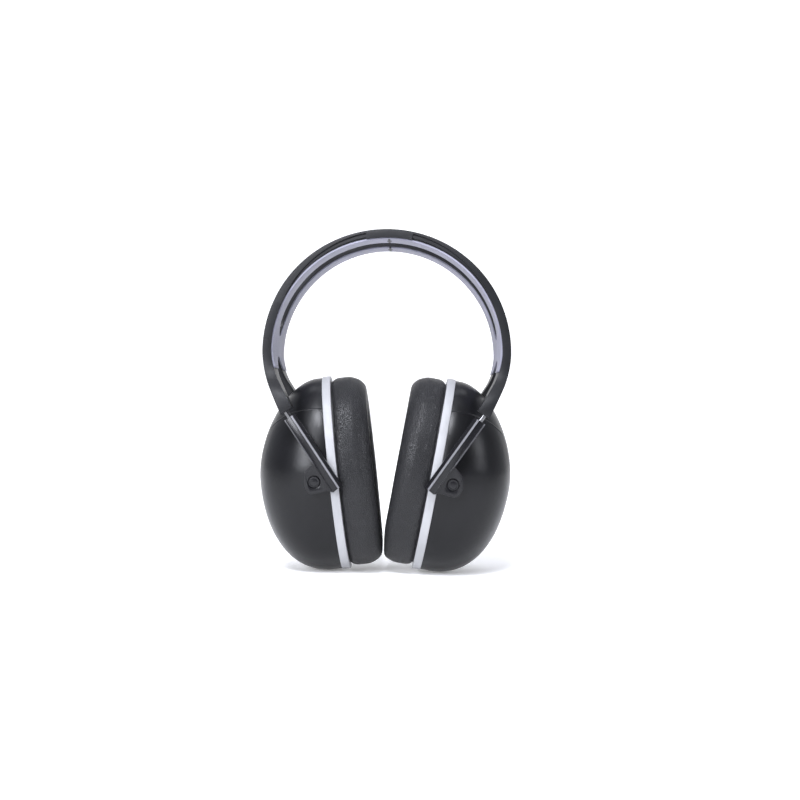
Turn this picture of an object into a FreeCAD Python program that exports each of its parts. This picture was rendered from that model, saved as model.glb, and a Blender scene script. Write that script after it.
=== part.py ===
import FreeCAD
import Part
import Sketcher
import math
import os

# Passive hearing protection earmuffs with a twin-band headband.
# Frame: X across the two cups, +Y to the rear side, +Z up to the crown, millimetres.
# Origin: middle of the footprint, on the level of the lowest point of the two cups.

os.makedirs("parts", exist_ok=True)
doc = FreeCAD.newDocument("earmuffs")
sheet = doc.addObject("Spreadsheet::Sheet", "Dims")
V3 = FreeCAD.Vector


class Val:
    """A number together with the sheet expression that gives it."""

    def __init__(self, v, e=None):
        self.v = float(v)
        self.e = e if e is not None else repr(float(v))

    def mix(self, other, sign, v):
        return Val(v, f"({self.e} {sign} {other.e})")

    def __add__(self, o):
        o = as_val(o)
        return self.mix(o, "+", self.v + o.v)

    def __radd__(self, o):
        return as_val(o) + self

    def __sub__(self, o):
        o = as_val(o)
        return self.mix(o, "-", self.v - o.v)

    def __rsub__(self, o):
        return as_val(o) - self

    def __mul__(self, o):
        o = as_val(o)
        return self.mix(o, "*", self.v * o.v)

    def __rmul__(self, o):
        return as_val(o) * self

    def __truediv__(self, o):
        o = as_val(o)
        return self.mix(o, "/", self.v / o.v)

    def __pow__(self, o):
        o = as_val(o)
        return self.mix(o, "^", self.v ** o.v)

    def __neg__(self):
        return as_val(-1) * self


def as_val(x):
    return x if isinstance(x, Val) else Val(x)


def sin_of(a):
    return Val(math.sin(math.radians(a.v)), f"sin({a.e})")


def cos_of(a):
    return Val(math.cos(math.radians(a.v)), f"cos({a.e})")


ROWS = []


def dim(alias, value, note):
    row = len(ROWS) + 1
    ROWS.append(alias)
    sheet.set(f"A{row}", alias)
    sheet.set(f"B{row}", str(value))
    sheet.set(f"C{row}", note)
    sheet.setAlias(f"B{row}", alias)
    return Val(value, f"Dims.{alias}")


ARCH_R = dim("arch_mid_radius", 64.1, "headband arch, middle of its thickness")
ARCH_Z = dim("arch_centre_height", 120.7, "centre of the arch above the floor")
KNEE_R = dim("leg_upper_radius", 53.5, "leg, first bend")
KNEE_A = dim("leg_upper_angle", 18.0, "where the first bend ends")
SHIN_R = dim("leg_lower_radius", 36.0, "leg, second bend")
LEG_A = dim("leg_angle", 34.5, "leg end, rod and arm guide, from the vertical")
FOOT_L = dim("leg_straight", 8.25, "straight leg end")
BAND_OUT = dim("band_outer_offset", 2.5, "middle line to the outer face")
BAND_IN = dim("band_inner_offset", 2.1, "middle line to the inner face")
FOOT_H = dim("leg_end_out", 3.1, "leg's end, middle line to the outer face")
FOOT_IH = dim("leg_end_in", 4.0, "leg's end, middle line to the inner face")
LEG_OUT = dim("leg_out", 1.6, "below the bend, middle line to the outer face")
LEG_IN = dim("leg_in", 3.9, "below the bend, middle line to the inner face")
BEND_OUT = dim("leg_bend_outer_radius", 45.6, "outer face, from the arch to the straight leg")
BEND_IN = dim("leg_bend_inner_radius", 39.5, "inner face, from the arch to the straight leg")
LINER_T = dim("liner_thickness", 0.7, "comfort liner")
LINER_Z = dim("liner_end_height", 111.5, "lower end of the liner on each leg")
LINER_IN = dim("liner_inset", 1.2, "bare edge of the moulding round the liner")
STRIP_T = dim("strip_thickness", 0.8, "spring steel strip")
STRIP_W = dim("strip_width", 9.0, "spring steel strip")
STRIP_A = dim("strip_start_angle", 14.0, "strip ends above the horizontal")
CROWN_A = dim("crown_start_angle", 65.0, "the crown ends above the horizontal")
CROWN_D = dim("crown_half_depth", 26.0, "both bands together at the crown")
SHOULDER_D = dim("shoulder_half_depth", 29.5, "both bands together at the shoulder")
SHOULDER_Z = dim("shoulder_height", 150.8, "where the full depth is reached")
LEG_Z = dim("leg_spread_height", 116.8, "where the legs begin to spread")
FOOT_Z = dim("leg_spread_end_height", 88.8, "where the legs are upright again")
FOOT_OUT = dim("leg_end_outer_depth", 40.6, "outer face of the leg's end")
FOOT_IN = dim("leg_end_inner_depth", 33.9, "inner face of the leg's end")
SLOT_H = dim("slot_half_depth", 9.0, "slot between the two bands")
SLOT_Z = dim("slot_end_height", 131.3, "lower end of the slot")
FORK_R = dim("fork_radius", 9.0, "round top of the fork between the legs")
FORK_Z = dim("fork_centre_height", 108.3, "centre of that round")
FORK_A = dim("fork_flare_angle", 42.0, "from the vertical radius to the flare")
ROD_R = dim("rod_radius", 1.3, "steel slide rod")
ROD_Y = dim("rod_depth", 37.4, "rod axis in front of and behind the middle")
ROD_IN = dim("rod_inside_leg", 7.5, "rod held in the leg")
ROD_OUT = dim("rod_out_of_leg", 33.0, "rod below the leg end")
TRAVEL = dim("arm_travel", 20.0, "height setting")
STOP_L = dim("stop_length", 3.5, "stop shoe on the rod's end")
STOP_W = dim("stop_width", 4.0, "stop shoe across the channel")
GUIDE_TOP = dim("guide_top", 3.6, "gap between leg end and arm guide")
GUIDE_END = dim("guide_end", 48.9, "lower end of the guide")
GUIDE_CAP = dim("guide_cap", 5.6, "closed collar at the top of the guide")
GUIDE_OUT = dim("guide_outer_side", 3.2, "guide side away from the head")
GUIDE_HEAD = dim("guide_head_side", 3.3, "guide side to the head")
GUIDE_IN = dim("guide_inner_depth", 34.9, "guide face to the cup")
GUIDE_FLOOR = dim("guide_floor_depth", 39.7, "guide outer face between its lips")
GUIDE_LIP = dim("guide_lip", 0.5, "height of the edge lips")
EAR_IN = dim("ear_inner_depth", 35.9, "pivot ear, inner face")
EAR_OUT = dim("ear_outer_depth", 38.9, "pivot ear, outer face")
PIN_U = dim("pin_along", 39.2, "pivot, along the rod from the leg end")
PIN_V = dim("pin_across", 8.0, "pivot, square to the rod")
PIN_R = dim("pin_radius", 2.0, "pivot pin shank")
CAP_R = dim("pin_cap_radius", 2.9, "pivot pin cap")
GROOVE_R = dim("pin_groove_radius", 3.5, "sink around the cap")
PIN_TOP = dim("pin_cap_depth", 39.3, "outer face of the cap")
PIN_INNER = dim("pin_inner_depth", 29.4, "inner end of the shank")
PIN_GAP = dim("pin_clearance", 0.3, "running gap in the cup's boss")
BOSS_R = dim("boss_radius", 4.6, "boss in the cup's wall")
BOSS_IN = dim("boss_inner_depth", 28.6, "inner end of the boss")
BOSS_OUT = dim("boss_outer_depth", 35.5, "outer face of the boss")
LEAN_L = dim("left_lean", 7.3, "left cup, bottom towards the head")
LEAN_R = dim("right_lean", 9.5, "right cup, bottom towards the head")
PIN_N = dim("ring_to_pin", 9.9, "pivot outwards of the ring's middle")
PIN_S = dim("ring_above_pin", 1.8, "ring's middle above the pivot")
RING_T = dim("ring_half_thickness", 2.3, "spacer ring")
RING_A = dim("ring_half_height", 54.0, "spacer ring, outside")
RING_B = dim("ring_half_depth", 34.5, "spacer ring, outside")
RING_RIM = dim("ring_rim", 4.6, "width of the spacer ring")
SHELL_N = dim("shell_depth", 42.9, "cup shell, from the ring's middle")
SHELL_FLAT = dim("shell_straight", 6.0, "straight side before the dome")
SHELL_TOP = dim("shell_half_top", 53.4, "shell above the middle")
SHELL_BOT = dim("shell_half_bottom", 53.6, "shell below the middle")
SHELL_B = dim("shell_half_depth", 34.0, "shell front and back")
SHELL_WALL = dim("shell_wall", 2.6, "shell wall")
EXP_TOP = dim("shell_top_exponent", 1.7, "fullness of the upper half")
EXP_BOT = dim("shell_bottom_exponent", 2.3, "fullness of the lower half")
EXP_B = dim("shell_depth_exponent", 2.2, "fullness front and back")
PLATE_T = dim("plate_thickness", 2.2, "cushion plate")
CUSH_A = dim("cushion_half_height", 51.6, "cushion at the ring")
CUSH_B = dim("cushion_half_depth", 32.6, "cushion at the ring")
CUSH_N = dim("cushion_face", 20.4, "sealing face from the ring's middle")
CUSH_ROUND = dim("cushion_round", 5.5, "rounded edge of the face")
SKIN_T = dim("cushion_skin", 1.1, "PVC cover")
EAR_A = dim("ear_opening_half_height", 35.0, "opening for the ear")
EAR_B = dim("ear_opening_half_depth", 21.0, "opening for the ear")
LINING_GAP = dim("absorber_inset", 6.0, "sound absorbing foam, inside the shell's outer face")
LINING_N = dim("absorber_start", 5.5, "front of the foam")
SCRIM_A = dim("scrim_half_height", 46.6, "cloth over the foam")
SCRIM_B = dim("scrim_half_depth", 27.2, "cloth over the foam")
SCRIM_T = dim("scrim_thickness", 0.8, "cloth over the foam")
doc.recompute()

ZERO = Val(0, "0")
NODES = []


def bind(obj, prop, val):
    obj.setExpression(prop, as_val(val).e)


def plane_of(body, role):
    return next(f for f in body.Origin.OriginFeatures if f.Role == role)


def arc_centre(p, q, radius, ccw):
    mid = ((p[0] + q[0]) / 2, (p[1] + q[1]) / 2)
    dx, dy = q[0] - p[0], q[1] - p[1]
    chord = math.hypot(dx, dy)
    rise = math.sqrt(max(radius * radius - chord * chord / 4, 0.0))
    side = 1 if ccw else -1
    return mid[0] - side * rise * dy / chord, mid[1] + side * rise * dx / chord


def draw_loop(sk, points):
    """Closed outline. A point is (x, y) or (x, y, radius, ccw) for an arc to the next point."""
    first = sk.GeometryCount
    count = len(points)
    ends = []
    for i, p in enumerate(points):
        q = points[(i + 1) % count]
        a = (p[0].v, p[1].v)
        b = (q[0].v, q[1].v)
        if len(p) == 2:
            sk.addGeometry(Part.LineSegment(V3(a[0], a[1], 0), V3(b[0], b[1], 0)), False)
            ends.append((1, 2))
            continue
        c = arc_centre(a, b, p[2].v, p[3])
        start, stop = (a, b) if p[3] else (b, a)
        t0 = math.atan2(start[1] - c[1], start[0] - c[0])
        t1 = math.atan2(stop[1] - c[1], stop[0] - c[0])
        if t1 < t0:
            t1 += 2 * math.pi
        circle = Part.Circle(V3(c[0], c[1], 0), V3(0, 0, 1), p[2].v)
        sk.addGeometry(Part.ArcOfCircle(circle, t0, t1), False)
        ends.append((1, 2) if p[3] else (2, 1))
    for i, p in enumerate(points):
        j = (i + 1) % count
        geo = first + i
        sk.addConstraint(Sketcher.Constraint("Coincident", geo, ends[i][1], first + j, ends[j][0]))
        for kind, val in (("DistanceX", p[0]), ("DistanceY", p[1])):
            n = sk.addConstraint(Sketcher.Constraint(kind, -1, 1, geo, ends[i][0], val.v))
            sk.setExpression(f"Constraints[{n}]", val.e)
        if len(p) == 4:
            n = sk.addConstraint(Sketcher.Constraint("Radius", geo, p[2].v))
            sk.setExpression(f"Constraints[{n}]", p[2].e)


def draw_circle(sk, x, y, radius):
    geo = sk.addGeometry(Part.Circle(V3(x.v, y.v, 0), V3(0, 0, 1), radius.v), False)
    for kind, val in (("DistanceX", x), ("DistanceY", y)):
        n = sk.addConstraint(Sketcher.Constraint(kind, -1, 1, geo, 3, val.v))
        sk.setExpression(f"Constraints[{n}]", val.e)
    n = sk.addConstraint(Sketcher.Constraint("Radius", geo, radius.v))
    sk.setExpression(f"Constraints[{n}]", radius.e)


def draw_ellipse(sk, major, minor):
    """Ellipse about the sketch's origin, its long half-axis along the sketch's y."""
    top = V3(0, major.v, 0)
    side = V3(minor.v, 0, 0)
    geo = sk.addGeometry(Part.Ellipse(top, side, V3(0, 0, 0)), False)
    sk.exposeInternalGeometry(geo)
    sk.addConstraint(Sketcher.Constraint("Coincident", geo, 3, -1, 1))
    sk.addConstraint(Sketcher.Constraint("Vertical", geo + 1))
    for line, half in ((geo + 1, major), (geo + 2, minor)):
        n = sk.addConstraint(Sketcher.Constraint("Distance", line, 2 * half.v))
        sk.setExpression(f"Constraints[{n}]", (half * 2).e)


def new_body(label):
    body = doc.addObject("PartDesign::Body", "B_" + label)
    body.Label = label
    NODES.append(body)
    return body


def new_sketch(body, name, role, shift=None, turn=None):
    sk = body.newObject("Sketcher::SketchObject", name)
    sk.AttachmentSupport = [(plane_of(body, role), "")]
    sk.MapMode = "FlatFace"
    if turn is not None:
        sk.AttachmentOffset = FreeCAD.Placement(V3(0, 0, 0), FreeCAD.Rotation(V3(0, 1, 0), turn.v))
        bind(sk, "AttachmentOffset.Rotation.Angle", turn)
    for axis, val in zip("xyz", shift or ()):
        bind(sk, f"AttachmentOffset.Base.{axis}", val)
    return sk


def pad(body, name, sk, length, both=False, back=False):
    f = body.newObject("PartDesign::Pad", name)
    f.Profile = sk
    bind(f, "Length", length)
    if both:
        f.SideType = "Symmetric"
    f.Reversed = back
    sk.Visibility = False
    return f


def pocket(body, name, sk, length, both=False, back=False):
    f = body.newObject("PartDesign::Pocket", name)
    f.Profile = sk
    bind(f, "Length", length)
    if both:
        f.SideType = "Symmetric"
    f.Reversed = back
    sk.Visibility = False
    return f


def path_point(kind, off):
    """Points on the leg's line, offset outwards: arch end, first bend, second bend, leg end."""
    if kind == "arch":
        return ARCH_R + off, ARCH_Z
    cx = ARCH_R - KNEE_R
    if kind == "knee":
        r = KNEE_R + off
        return cx + r * cos_of(KNEE_A), ARCH_Z - r * sin_of(KNEE_A)
    cx2 = cx + (KNEE_R - SHIN_R) * cos_of(KNEE_A)
    cz2 = ARCH_Z - (KNEE_R - SHIN_R) * sin_of(KNEE_A)
    r = SHIN_R + off
    x = cx2 + r * cos_of(LEG_A)
    z = cz2 - r * sin_of(LEG_A)
    if kind == "shin":
        return x, z
    return x - FOOT_L * sin_of(LEG_A), z - FOOT_L * cos_of(LEG_A)


def band_outline(outer, inner):
    """Arch and both legs in the XZ plane, between an outer and an inner side.

    A side holds its offsets at the arch, below the bend and at the leg's end, and the bend's radius.
    """
    at_arch, at_bend, at_end, bend = outer
    fx, fz = path_point("foot", at_end)
    kx, kz = path_point("knee", at_bend)
    ax, az = path_point("arch", at_arch)
    pts = [
        (fx, fz),
        (kx, kz, bend, True),
        (ax, az, ARCH_R + at_arch, True),
        (ZERO, ARCH_Z + ARCH_R + at_arch, ARCH_R + at_arch, True),
        (-ax, az, bend, True),
        (-kx, kz),
        (-fx, fz),
    ]
    at_arch, at_bend, at_end, bend = inner
    fx, fz = path_point("foot", at_end)
    kx, kz = path_point("knee", at_bend)
    ax, az = path_point("arch", at_arch)
    pts += [
        (-fx, fz),
        (-kx, kz, bend, False),
        (-ax, az, ARCH_R + at_arch, False),
        (ZERO, ARCH_Z + ARCH_R + at_arch, ARCH_R + at_arch, False),
        (ax, az, bend, False),
        (kx, kz),
        (fx, fz),
    ]
    return pts


def side_cuts(body, inset):
    """Cuts the bands, the slot and the fork out of the full-depth arch, seen from the side."""
    far = Val(70)
    top = Val(210)
    low = Val(60)
    outer = SHOULDER_D - inset
    foot = FOOT_OUT - inset
    half_y = (foot - outer) / 2
    half_z = (LEG_Z - FOOT_Z) / 2
    bend = (half_y * half_y + half_z * half_z) / (half_y * 2)
    crown = CROWN_D - inset
    dy = outer - crown
    rim = ARCH_Z + ARCH_R + BAND_OUT + Val(0.1)
    dz = rim - SHOULDER_Z
    sweep = (dy * dy + dz * dz) / (dy * 2)
    sk = new_sketch(body, "depth_outline", "YZ_Plane")
    for s in (1, -1):
        right = s > 0
        draw_loop(sk, [
            (crown * s, top),
            (crown * s, rim, sweep, not right),
            (outer * s, SHOULDER_Z),
            (outer * s, LEG_Z, bend, right),
            ((outer + half_y) * s, LEG_Z - half_z, bend, not right),
            (foot * s, FOOT_Z),
            (foot * s, low),
            (far * s, low),
            (far * s, top),
        ])
    pocket(body, "depth_cut", sk, Val(200), both=True)
    sk = new_sketch(body, "slot_outline", "YZ_Plane")
    half = SLOT_H + inset
    base = SLOT_Z - inset
    draw_loop(sk, [
        (-half, top),
        (-half, base + half, half, True),
        (ZERO, base, half, True),
        (half, base + half),
        (half, top),
    ])
    pocket(body, "slot_cut", sk, Val(200), both=True)
    sk = new_sketch(body, "fork_outline", "YZ_Plane")
    radius = FORK_R + inset
    ty = radius * sin_of(FORK_A)
    tz = FORK_Z + radius * cos_of(FORK_A)
    edge = FOOT_IN + inset
    drop = (edge - ty) * sin_of(FORK_A) / cos_of(FORK_A)
    draw_loop(sk, [
        (ty, tz, radius, True),
        (ZERO, FORK_Z + radius, radius, True),
        (-ty, tz),
        (-edge, tz - drop),
        (-edge, low),
        (edge, low),
        (edge, tz - drop),
    ])
    pocket(body, "fork_cut", sk, Val(200), both=True)


def ring_sector(outer, inner, angle):
    """Arch-shaped strip between two radii, from the start angle over the crown to the other side."""
    c = cos_of(angle)
    s = sin_of(angle)
    return [
        (outer * c, ARCH_Z + outer * s, outer, True),
        (ZERO, ARCH_Z + outer, outer, True),
        (-outer * c, ARCH_Z + outer * s),
        (-inner * c, ARCH_Z + inner * s, inner, False),
        (ZERO, ARCH_Z + inner, inner, False),
        (inner * c, ARCH_Z + inner * s),
    ]


def foot_point():
    return path_point("foot", ZERO)


def keep_span(body, hand):
    """Leaves only the crown, or only one side, of an arch-shaped body."""
    far = Val(130)
    low = ARCH_Z - Val(60)
    top = ARCH_Z + Val(90)
    dx = Val(100) * cos_of(CROWN_A)
    dz = ARCH_Z + Val(100) * sin_of(CROWN_A)
    sk = new_sketch(body, "span_outline", "XZ_Plane")
    if hand == "crown":
        draw_loop(sk, [(ZERO, ARCH_Z), (dx, dz), (far, dz), (far, low), (-far, low), (-far, dz), (-dx, dz)])
    else:
        s = 1 if hand == "right" else -1
        draw_loop(sk, [(ZERO, low), (ZERO, ARCH_Z), (dx * s, dz), (dx * s, top), (far * -s, top), (far * -s, low)])
    pocket(body, "span_cut", sk, Val(120), both=True)


def strip_seats(body):
    for sign, side in ((1, "back"), (-1, "front")):
        # XZ sketches look along -Y, so a shift of +z lies towards the front
        sk = new_sketch(body, f"strip_seat_{side}", "XZ_Plane", (0, 0, STRIP_Y * -sign))
        seat_in = ARCH_R - BAND_IN - Val(0.05)
        draw_loop(sk, ring_sector(ARCH_R - BAND_IN + STRIP_T, seat_in, STRIP_A))
        pocket(body, f"strip_recess_{side}", sk, STRIP_W, both=True)


def band_piece(label, hand, outer, inner, inset):
    """One span of the twin-band arch: both bands, and on a side the web and its two legs."""
    body = new_body(label)
    sk = new_sketch(body, "arch_outline", "XZ_Plane")
    draw_loop(sk, band_outline(outer, inner))
    pad(body, "arch", sk, Val(90), both=True)
    side_cuts(body, inset)
    keep_span(body, hand)
    return body


# headband moulding: crown and two flexing sides, each side with a web and two legs
STRIP_Y = (SLOT_H + CROWN_D) / 2
OUTER_SIDE = (BAND_OUT, LEG_OUT, FOOT_H, BEND_OUT)
INNER_SIDE = (-BAND_IN, -LEG_IN, -FOOT_IH, BEND_IN)
LINER_SIDE = (-BAND_IN - LINER_T, -LEG_IN - LINER_T, -FOOT_IH - LINER_T, BEND_IN - LINER_T)
for hand in ("crown", "left", "right"):
    name = "headband_crown" if hand == "crown" else f"{hand}_headband_side"
    body = band_piece(name, hand, OUTER_SIDE, INNER_SIDE, Val(0))
    strip_seats(body)
    for sy, side in ((1, "back"), (-1, "front")):
        if hand == "crown":
            continue
        sx = 1 if hand == "right" else -1
        fx, fz = foot_point()
        sk = new_sketch(body, f"rod_seat_{side}", "XY_Plane", (fx * sx, ROD_Y * sy, fz), LEG_A * sx)
        draw_circle(sk, ZERO, ZERO, ROD_R)
        pocket(body, f"rod_hole_{side}", sk, ROD_IN, back=True)
    # soft liner on the inner face of the bands and the web, ending just below the fork
    name = "crown_liner" if hand == "crown" else f"{hand}_side_liner"
    body = band_piece(name, hand, INNER_SIDE, LINER_SIDE, LINER_IN)
    if hand != "crown":
        sk = new_sketch(body, "liner_end_outline", "XZ_Plane")
        draw_loop(sk, [(-Val(130), LINER_Z), (-Val(130), Val(60)), (Val(130), Val(60)), (Val(130), LINER_Z)])
        pocket(body, "liner_end_cut", sk, Val(120), both=True)

for sign, side in ((1, "rear"), (-1, "front")):
    strip = new_body(f"{side}_spring_strip")
    sk = new_sketch(strip, f"strip_{side}", "XZ_Plane", (0, 0, STRIP_Y * -sign))
    draw_loop(sk, ring_sector(ARCH_R - BAND_IN + STRIP_T, ARCH_R - BAND_IN, STRIP_A))
    pad(strip, f"strip_pad_{side}", sk, STRIP_W, both=True)


def place_on_leg(body, sx, sy):
    """Puts a body's frame on a leg end: its Z runs up the rod."""
    fx, fz = foot_point()
    body.Placement = FreeCAD.Placement(V3(0, 0, 0), FreeCAD.Rotation(V3(0, 1, 0), sx * LEG_A.v))
    bind(body, "Placement.Base.x", fx * sx)
    bind(body, "Placement.Base.y", ROD_Y * sy)
    bind(body, "Placement.Base.z", fz)
    bind(body, "Placement.Rotation.Angle", LEG_A * sx)


def slide_rod(hand, side, sx, sy):
    rod = new_body(f"{hand}_{side}_slide_rod")
    sk = new_sketch(rod, "rod_round", "XY_Plane", (0, 0, -ROD_OUT))
    draw_circle(sk, ZERO, ZERO, ROD_R)
    pad(rod, "rod_pad", sk, ROD_OUT + ROD_IN)
    place_on_leg(rod, sx, sy)
    stop = new_body(f"{hand}_{side}_rod_stop")
    sk = new_sketch(stop, "stop_outline", "XY_Plane", (0, 0, -ROD_OUT))
    w = STOP_W / 2
    lo = GUIDE_IN + Val(0.5) - ROD_Y
    hi = GUIDE_FLOOR - Val(1.4) - ROD_Y
    near = (lo if sy > 0 else -lo)
    out = (hi if sy > 0 else -hi)
    mouth = (ROD_R * ROD_R - hi * hi) ** 0.5
    # the shoe clips round the rod's end, open to the outside
    turn = sy < 0
    draw_loop(sk, [
        (-w, near),
        (w, near),
        (w, out),
        (mouth, out, ROD_R, turn),
        (ZERO, -ROD_R * sy, ROD_R, turn),
        (-mouth, out),
    ])
    pad(stop, "stop_pad", sk, STOP_L)
    place_on_leg(stop, sx, sy)


def arm_yoke(hand, side, sx, sy):
    """Guide channel with two edge lips, sliding on the rod, and the pivot ear beside it."""
    arm = new_body(f"{hand}_{side}_yoke")
    fin = GUIDE_IN - ROD_Y
    floor = GUIDE_FLOOR - ROD_Y
    lip = floor + GUIDE_LIP
    sk = new_sketch(arm, "guide_section", "XY_Plane", (0, 0, -GUIDE_END))
    section = [
        (GUIDE_OUT, fin),
        (GUIDE_OUT, lip),
        (GUIDE_OUT - Val(0.6), lip),
        (GUIDE_OUT - Val(0.7), floor),
        (Val(-0.7), floor),
        (Val(-0.8), lip + Val(0.2)),
        (Val(-1.4), lip + Val(0.2)),
        (-GUIDE_HEAD, lip - Val(1.6)),
        (-GUIDE_HEAD, fin),
    ]
    draw_loop(sk, [(x * sx, y * sy) for x, y in section])
    pad(arm, "guide", sk, GUIDE_END - GUIDE_TOP)
    # XZ sketches look along -Y
    sk = new_sketch(arm, "ear_outline", "XZ_Plane", (0, 0, (EAR_OUT - ROD_Y) * -sy))
    ear = [
        (Val(2.0), PIN_U - Val(8.4)),
        (GUIDE_OUT, PIN_U - Val(8.4)),
        (PIN_V + Val(2.0), PIN_U - Val(6.4)),
        (PIN_V + Val(5.3), PIN_U - Val(1.8)),
        (PIN_V + Val(6.2), PIN_U + Val(2.9)),
        (PIN_V + Val(4.8), PIN_U + Val(4.9)),
        (PIN_V - Val(3.2), PIN_U + Val(7.8)),
        (GUIDE_OUT - Val(0.8), GUIDE_END + Val(0.5)),
        (Val(-1.0), GUIDE_END),
        (Val(-1.0), PIN_U),
    ]
    draw_loop(sk, [(x * sx, -z) for x, z in ear])
    pad(arm, "ear", sk, EAR_OUT - EAR_IN, back=(sy < 0))
    doc.recompute()
    edges = []
    block = arm.Tip
    for i, e in enumerate(block.Shape.Edges):
        a, b = e.Vertexes[0].Point, e.Vertexes[-1].Point
        along_y = abs(a.x - b.x) < 1e-6 and abs(a.z - b.z) < 1e-6
        if along_y and abs(a.x) > PIN_V.v + 1.0:
            edges.append(f"Edge{i + 1}")
    rounds = arm.newObject("PartDesign::Fillet", "ear_rounds")
    rounds.Base = (block, edges)
    rounds.Radius = 1.3
    # open channel for the stop shoe, below the closed collar
    sk = new_sketch(arm, "channel_section", "XY_Plane", (0, 0, -(GUIDE_TOP + GUIDE_CAP)))
    w = STOP_W / 2 + Val(0.2)
    deep = GUIDE_FLOOR - Val(0.8) - ROD_Y
    channel = [(-w, fin - Val(1)), (w, fin - Val(1)), (w, deep), (-w, deep)]
    draw_loop(sk, [(x, y * sy) for x, y in channel])
    pocket(arm, "channel", sk, TRAVEL + STOP_L + Val(8.5))
    sk = new_sketch(arm, "bore_round", "XY_Plane", (0, 0, -GUIDE_TOP))
    draw_circle(sk, ZERO, ZERO, ROD_R + Val(0.25))
    pocket(arm, "bore", sk, GUIDE_CAP + Val(2))
    sk = new_sketch(arm, "pin_round", "XZ_Plane", (0, 0, (EAR_OUT - ROD_Y) * -sy))
    draw_circle(sk, PIN_V * sx, -PIN_U, PIN_R)
    pocket(arm, "pin_hole", sk, Val(4), back=(sy > 0))
    sk = new_sketch(arm, "sink_round", "XZ_Plane", (0, 0, (EAR_OUT - ROD_Y) * -sy))
    draw_circle(sk, PIN_V * sx, -PIN_U, GROOVE_R)
    pocket(arm, "pin_sink", sk, Val(0.7), back=(sy > 0))
    place_on_leg(arm, sx, sy)


def pin_place(lean, sx):
    """Pivot axis in the XZ plane, and the middle of the ring behind it."""
    fx, fz = foot_point()
    s = sin_of(LEG_A)
    c = cos_of(LEG_A)
    px = fx - PIN_U * s + PIN_V * c
    pz = fz - PIN_U * c - PIN_V * s
    cx = px - PIN_N * cos_of(lean) + PIN_S * sin_of(lean)
    return px, pz, cx * sx, pz + PIN_N * sin_of(lean) + PIN_S * cos_of(lean)


def pivot_pin(hand, side, lean, sx, sy):
    px, pz, _, _ = pin_place(lean, sx)
    pin = new_body(f"{hand}_{side}_pivot_pin")
    sk = new_sketch(pin, "shank_round", "XZ_Plane", (0, 0, PIN_INNER * -sy))
    draw_circle(sk, ZERO, ZERO, PIN_R)
    pad(pin, "shank", sk, PIN_TOP - PIN_INNER, back=(sy > 0))
    sk = new_sketch(pin, "cap_round", "XZ_Plane", (0, 0, PIN_TOP * -sy))
    draw_circle(sk, ZERO, ZERO, CAP_R)
    pad(pin, "cap", sk, PIN_TOP - EAR_OUT + Val(0.7), back=(sy < 0))
    bind(pin, "Placement.Base.x", px * sx)
    bind(pin, "Placement.Base.z", pz)


def cup_place(obj, lean, sx):
    _, _, cx, cz = pin_place(lean, sx)
    obj.Placement = FreeCAD.Placement(V3(0, 0, 0), FreeCAD.Rotation(V3(0, 1, 0), sx * lean.v))
    bind(obj, "Placement.Base.x", cx)
    bind(obj, "Placement.Base.z", cz)
    bind(obj, "Placement.Rotation.Angle", lean * sx)


def ellipse_at(name, n, major, minor, up):
    """Upright ellipse at distance n outwards, its long axis along Z."""
    e = doc.addObject("Part::Ellipse", name)
    e.Placement = FreeCAD.Placement(V3(0, 0, 0), FreeCAD.Rotation(V3(0, 1, 0), -90))
    bind(e, "MajorRadius", major)
    bind(e, "MinorRadius", minor)
    bind(e, "Placement.Base.x", n)
    bind(e, "Placement.Base.z", up)
    return e


def dome(name, sx, wall, start):
    """Lofted dome of a cup shell, shrunk evenly by the wall."""
    sections = []
    reach = SHELL_N - SHELL_FLAT - wall
    for i, share in enumerate((None, 0.0, 0.22, 0.42, 0.6, 0.75, 0.87, 0.95, 0.99)):
        if share is None:
            n, t, b, w = start, SHELL_TOP - wall, SHELL_BOT - wall, SHELL_B - wall
        else:
            f = Val(share)
            n = SHELL_FLAT + reach * f
            t = (SHELL_TOP - wall) * (1 - f ** EXP_TOP) ** (1 / EXP_TOP.v)
            b = (SHELL_BOT - wall) * (1 - f ** EXP_BOT) ** (1 / EXP_BOT.v)
            w = (SHELL_B - wall) * (1 - f ** EXP_B) ** (1 / EXP_B.v)
        sections.append(ellipse_at(f"{name}_{i}", n * sx, (t + b) / 2, w, (t - b) / 2))
    loft = doc.addObject("Part::Loft", name)
    loft.Sections = sections
    loft.Solid = True
    loft.Ruled = False
    return loft


def cylinder(name, x, y, z, radius, length):
    c = doc.addObject("Part::Cylinder", name)
    c.Placement = FreeCAD.Placement(V3(0, 0, 0), FreeCAD.Rotation(V3(1, 0, 0), -90))
    bind(c, "Radius", radius)
    bind(c, "Height", length)
    for axis, val in zip("xyz", (x, y, z)):
        bind(c, f"Placement.Base.{axis}", val)
    return c


def boolean(kind, name, base, tools):
    b = doc.addObject("Part::" + kind, name)
    if kind == "Cut":
        b.Base = base
        b.Tool = tools
    else:
        b.Shapes = [base] + tools
    return b


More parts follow.
